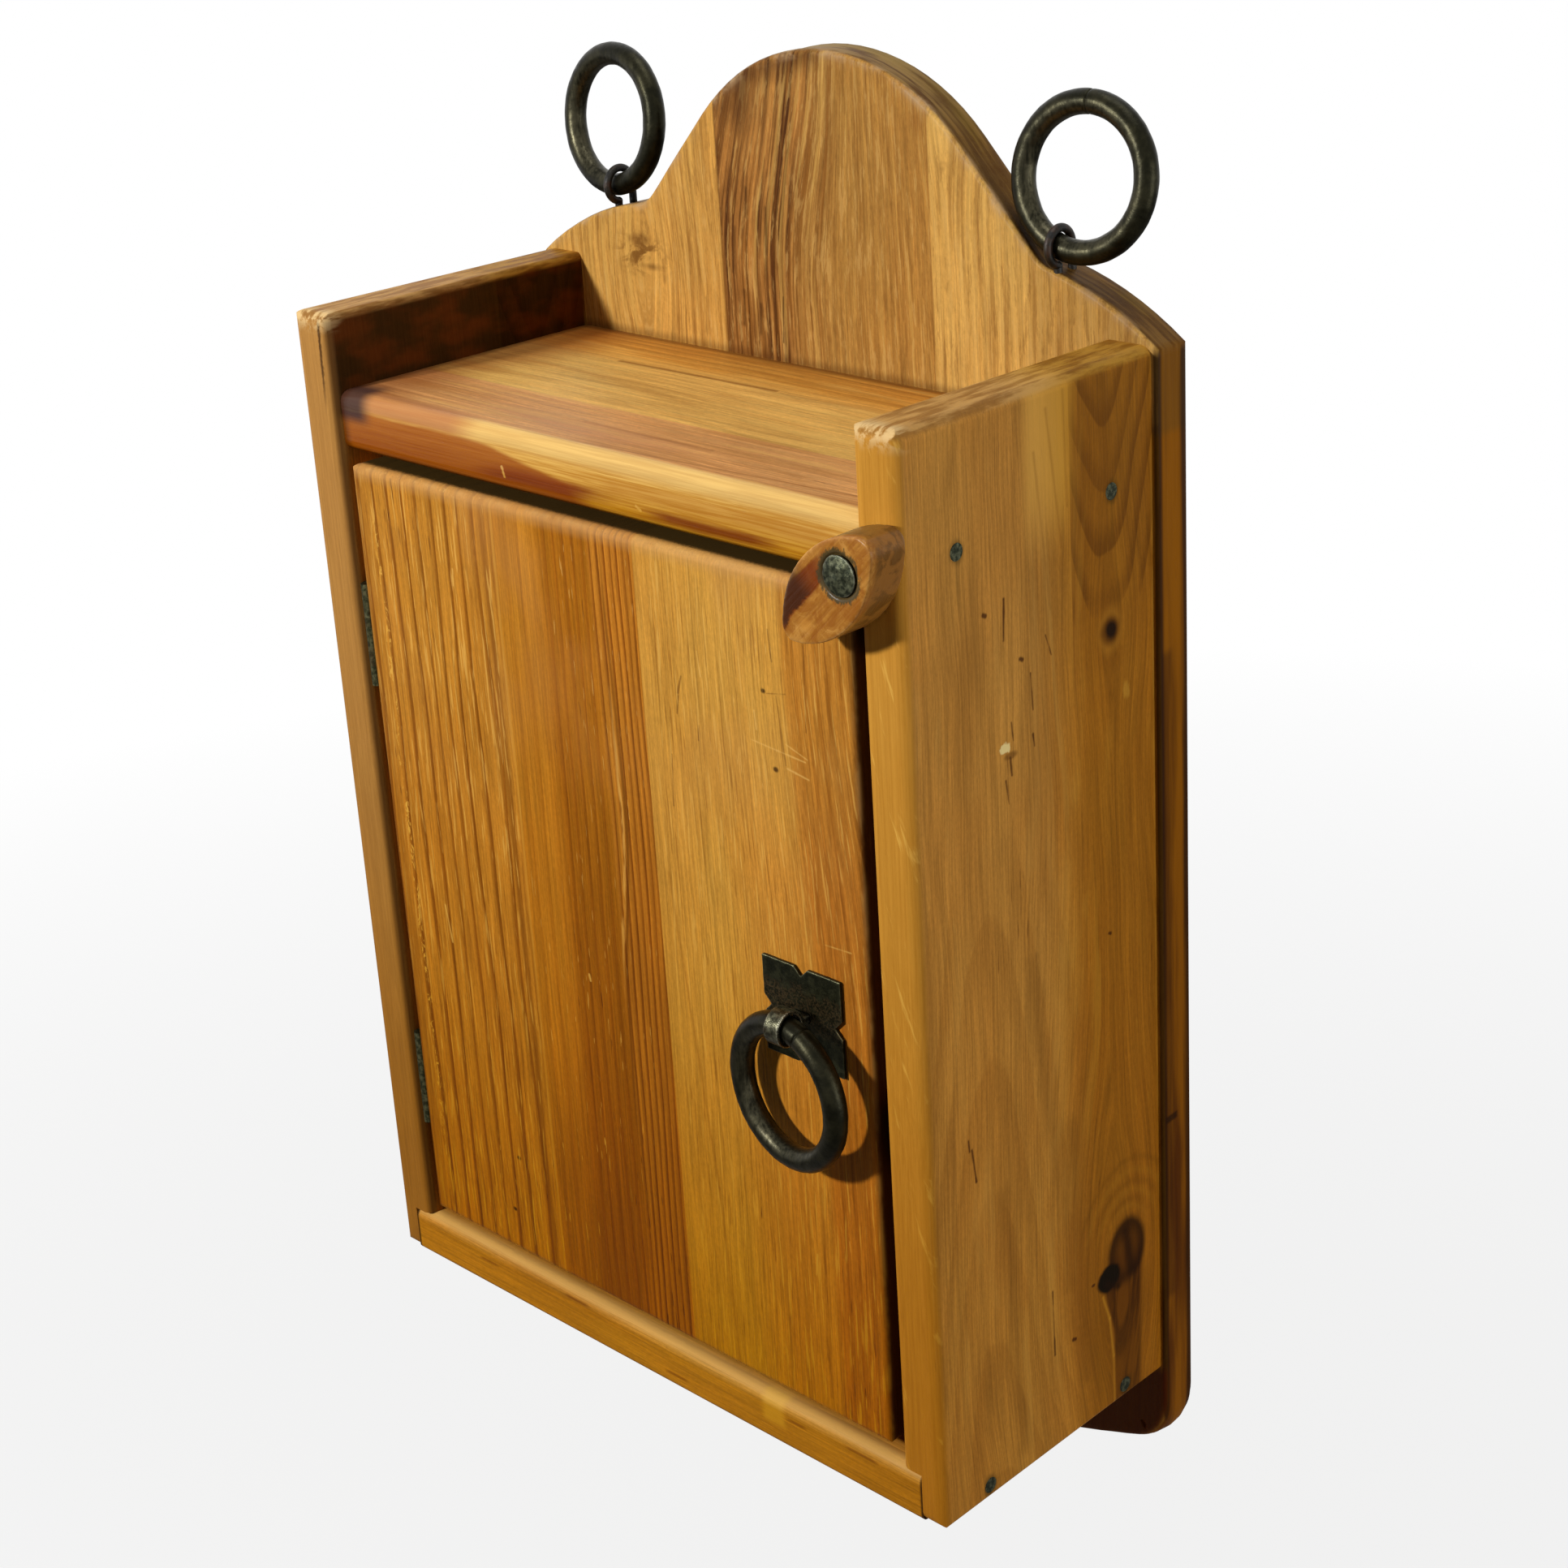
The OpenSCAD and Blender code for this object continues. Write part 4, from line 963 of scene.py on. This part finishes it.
def forged_ring(name, node, seed, seam=None):
    """A hand-forged ring in its CAD ring's place, its bar uneven and rubbed inside. Seam is the angle of
    its butt joint, if one shows."""
    centre, normal, up, side, ring_r, bar_r = ring_shape(node)
    # each turn round the ring, with how many mm the bar is thinner there
    turns = [(turn, 0) for turn in np.linspace(0, 2 * math.pi, 180, endpoint=False)]
    if seam is not None:
        gap = 0.32 * MM / ring_r
        joint = {0: 0.46, 0.45: 0.36, 1: 0.10, 1.6: 0.04, 3: 0}
        turns = [t for t in turns if abs(math.remainder(t[0] - seam, 2 * math.pi)) > 3.5 * gap]
        turns += [((seam + k * gap) % (2 * math.pi), dip) for far, dip in joint.items() for k in {far, -far}]
    turns.sort()
    parts = 28
    verts, wear = [], []
    for phi, dip in turns:
        out = math.sin(phi) * side + math.cos(phi) * up
        for k in range(parts):
            psi = 2 * math.pi * k / parts
            away = math.cos(psi) * out + math.sin(psi) * normal
            bulge = lump(math.cos(phi) * 1.9, math.sin(phi) * 1.9, seed)
            dent = lump(*(away * 1.6 + out * 7 + (seed, 0, 0)))
            fine = lump(*(away * 3 + out * 24 + (0, seed, 0)))
            r = bar_r * (1 - 0.035 * bulge - 0.045 * dent - 0.012 * fine) - dip * MM
            verts.append(centre + out * ring_r + away * r)
            # rubbed inside and at the front, which the iron paints bright, partly as a painted highlight
            inner = max(0, -math.cos(psi) * 0.9 + math.sin(psi) * 0.5)
            wear.append(min(1, inner ** 2 * (0.5 + 0.8 * fine)))
    n = len(turns)
    faces = [(a * parts + k, a * parts + (k + 1) % parts, (a + 1) % n * parts + (k + 1) % parts,
              (a + 1) % n * parts + k) for a in range(n) for k in range(parts)]
    stand_in(name, node, verts, faces, wear)


def softened(name, node, grid, rounds, dent, dent_size, seed):
    """A CAD node's shape with rubbed arrises and lightly dented faces, never outside the CAD shape. Grid is
    the mesh's fineness, rounds how often it is smoothed, dent how deep and dent_size how wide, in mm."""
    source = NODES[node].data.copy()
    work = bpy.data.objects.new("work", source)
    bpy.context.scene.collection.objects.link(work)
    bm = bmesh.new()
    bm.from_mesh(source)
    bmesh.ops.remove_doubles(bm, verts=bm.verts, dist=1e-6)
    bm.to_mesh(source)
    bm.free()
    remesh = work.modifiers.new("remesh", "REMESH")
    remesh.mode = "VOXEL"
    remesh.voxel_size = grid * MM
    dense = bpy.data.meshes.new_from_object(work.evaluated_get(bpy.context.evaluated_depsgraph_get()))
    bpy.data.objects.remove(work)
    bm = bmesh.new()
    bm.from_mesh(dense)
    bm.normal_update()
    start = np.array([v.co[:] for v in bm.verts])
    normals = np.array([v.normal[:] for v in bm.verts])
    all_axes = {"use_axis_x": True, "use_axis_y": True, "use_axis_z": True}
    for _ in range(rounds):
        bmesh.ops.smooth_vert(bm, verts=bm.verts, factor=0.5, **all_axes)
    end = np.array([v.co[:] for v in bm.verts])
    sunk = np.sum((start - end) * normals, 1)
    wear = np.clip(sunk / (0.35 * grid * MM * math.sqrt(rounds)), 0, 1)
    bm.normal_update()
    out = np.array([v.normal[:] for v in bm.verts])
    depth = np.array([lump(*(p / (dent_size * MM) + (seed, 0, 0))) for p in end])
    end = end - out * (depth * dent * MM)[:, None]
    faces = [[v.index for v in f.verts] for f in bm.faces]
    bm.free()
    lo, hi = (np.array(c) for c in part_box(node))
    stand_in(name, node, np.clip(end, lo, hi), faces, wear)


back_board_worn()
forged_ring("hang_ring_left_forged", "hang_ring_left", 1.3)
forged_ring("hang_ring_right_forged", "hang_ring_right", 4.7, math.radians(2))
forged_ring("pull_ring_forged", "pull_ring", 8.2, math.radians(20))
softened("turn_button_worn", "turn_button", 0.55, 8, 0.12, 9, 1)
softened("button_nail_hammered", "button_nail", 0.32, 5, 0.45, 2.2, 2)
softened("pull_plate_hammered", "pull_plate", 0.30, 2, 0.14, 2.6, 3)
softened("pull_strap_worn", "pull_strap", 0.26, 2, 0.05, 2, 4)


# ---------------------------------------------------------------- camera, light and floor

SCENE = bpy.context.scene
TARGET = Vector((0, -0.06, 0.2))


def camera(eye, yaw, pitch, roll, focal, shift):
    """A camera at a place, turned left by yaw and down by pitch, and tilted by roll, in degrees."""
    yaw, pitch, roll = (math.radians(a) for a in (yaw, pitch, roll))
    ahead = Vector((-math.sin(yaw) * math.cos(pitch), math.cos(yaw) * math.cos(pitch), -math.sin(pitch)))
    across = ahead.cross(Vector((0, 0, 1))).normalized()
    upward = across.cross(ahead)
    turned_x = math.cos(roll) * across + math.sin(roll) * upward
    turned_y = math.cos(roll) * upward - math.sin(roll) * across
    lens = bpy.data.cameras.new("camera")
    lens.sensor_width = 36
    lens.lens = focal
    lens.shift_x, lens.shift_y = shift
    lens.clip_start = 0.05
    lens.clip_end = 20
    place = Matrix((turned_x, turned_y, -ahead)).transposed().to_4x4()
    place.translation = Vector(eye)
    view = bpy.data.objects.new("camera", lens)
    view.matrix_world = place
    SCENE.collection.objects.link(view)
    SCENE.camera = view


def lamp(name, toward, distance, size, level):
    """A square lamp. Level is how bright it makes a white matt surface that faces it."""
    light = bpy.data.lights.new(name, "AREA")
    light.size = size
    light.energy = level * math.pi ** 2 * distance ** 2
    obj = bpy.data.objects.new(name, light)
    obj.location = TARGET + Vector(toward).normalized() * distance
    obj.rotation_mode = "QUATERNION"
    obj.rotation_quaternion = (TARGET - obj.location).to_track_quat("-Z", "Y")
    SCENE.collection.objects.link(obj)


def surroundings():
    """White to the camera, in reflections and through glass, and only a faint light on the object."""
    SCENE.world = bpy.data.worlds.new("surroundings")
    n = Nodes(SCENE.world)
    path = n.node("LightPath")
    seen = path.outputs["Is Camera Ray"]
    for kind in ("Is Glossy Ray", "Is Transmission Ray"):
        seen = n.node("Math", seen, path.outputs[kind], operation="MAXIMUM").outputs[0]
    dim = n.shader("Background", [1, 0.98, 0.95, 1], 0.06)
    white = n.shader("Background", [1, 1, 1, 1], 1)
    n.node("OutputWorld", n.shader("MixShader", seen, dim, white))


def floor_paint():
    """A pale matt floor that fades to white outwards, and throws only a little light back at the object."""
    paint = bpy.data.materials.new("floor")
    n = Nodes(paint)
    place = n.node("TexCoord").outputs["Object"]
    out_from_middle = n.node("VectorMath", place, operation="LENGTH").outputs["Value"]
    # the share of the glow is 0.72 up to 0.6 m out, and all from 2.2 m
    fade = n.node("MapRange", out_from_middle, 0.6, 2.2, 0.72, 1).outputs[0]
    matt = n.shader("BsdfDiffuse", [0.94, 0.94, 0.93, 1])
    dull = n.shader("BsdfDiffuse", [0.36, 0.35, 0.33, 1])
    glow = n.shader("Emission", [1, 1, 1, 1], 1)
    lit = n.shader("MixShader", fade, matt, glow)
    seen = n.node("LightPath").outputs["Is Camera Ray"]
    n.node("OutputMaterial", n.shader("MixShader", seen, dull, lit))
    return paint


def floor(height, radius, corners=96):
    """A round floor well below the hanging cabinet."""
    bm = bmesh.new()
    turns = [2 * math.pi * i / corners for i in range(corners)]
    bm.faces.new([bm.verts.new((radius * math.cos(t), radius * math.sin(t), height)) for t in turns])
    mesh = bpy.data.meshes.new("floor")
    bm.to_mesh(mesh)
    bm.free()
    mesh.materials.append(floor_paint())
    piece = bpy.data.objects.new("floor", mesh)
    SCENE.collection.objects.link(piece)


camera((0.642219, -0.668733, 0.576389), 43.5738, 21.0359, -2.7436, 63.119, (-0.06316, -0.05842))
lamp("key", (-0.33, -1, 0.48), 1.3, 0.10, 0.98)
lamp("fill", (1, 0.12, 0.05), 2.2, 1.1, 0.47)
lamp("ceiling", (0.1, 0.06, 1), 1.7, 0.9, 0.42)
surroundings()
floor(-0.55, 3)
SCENE.view_settings.view_transform = "Standard"
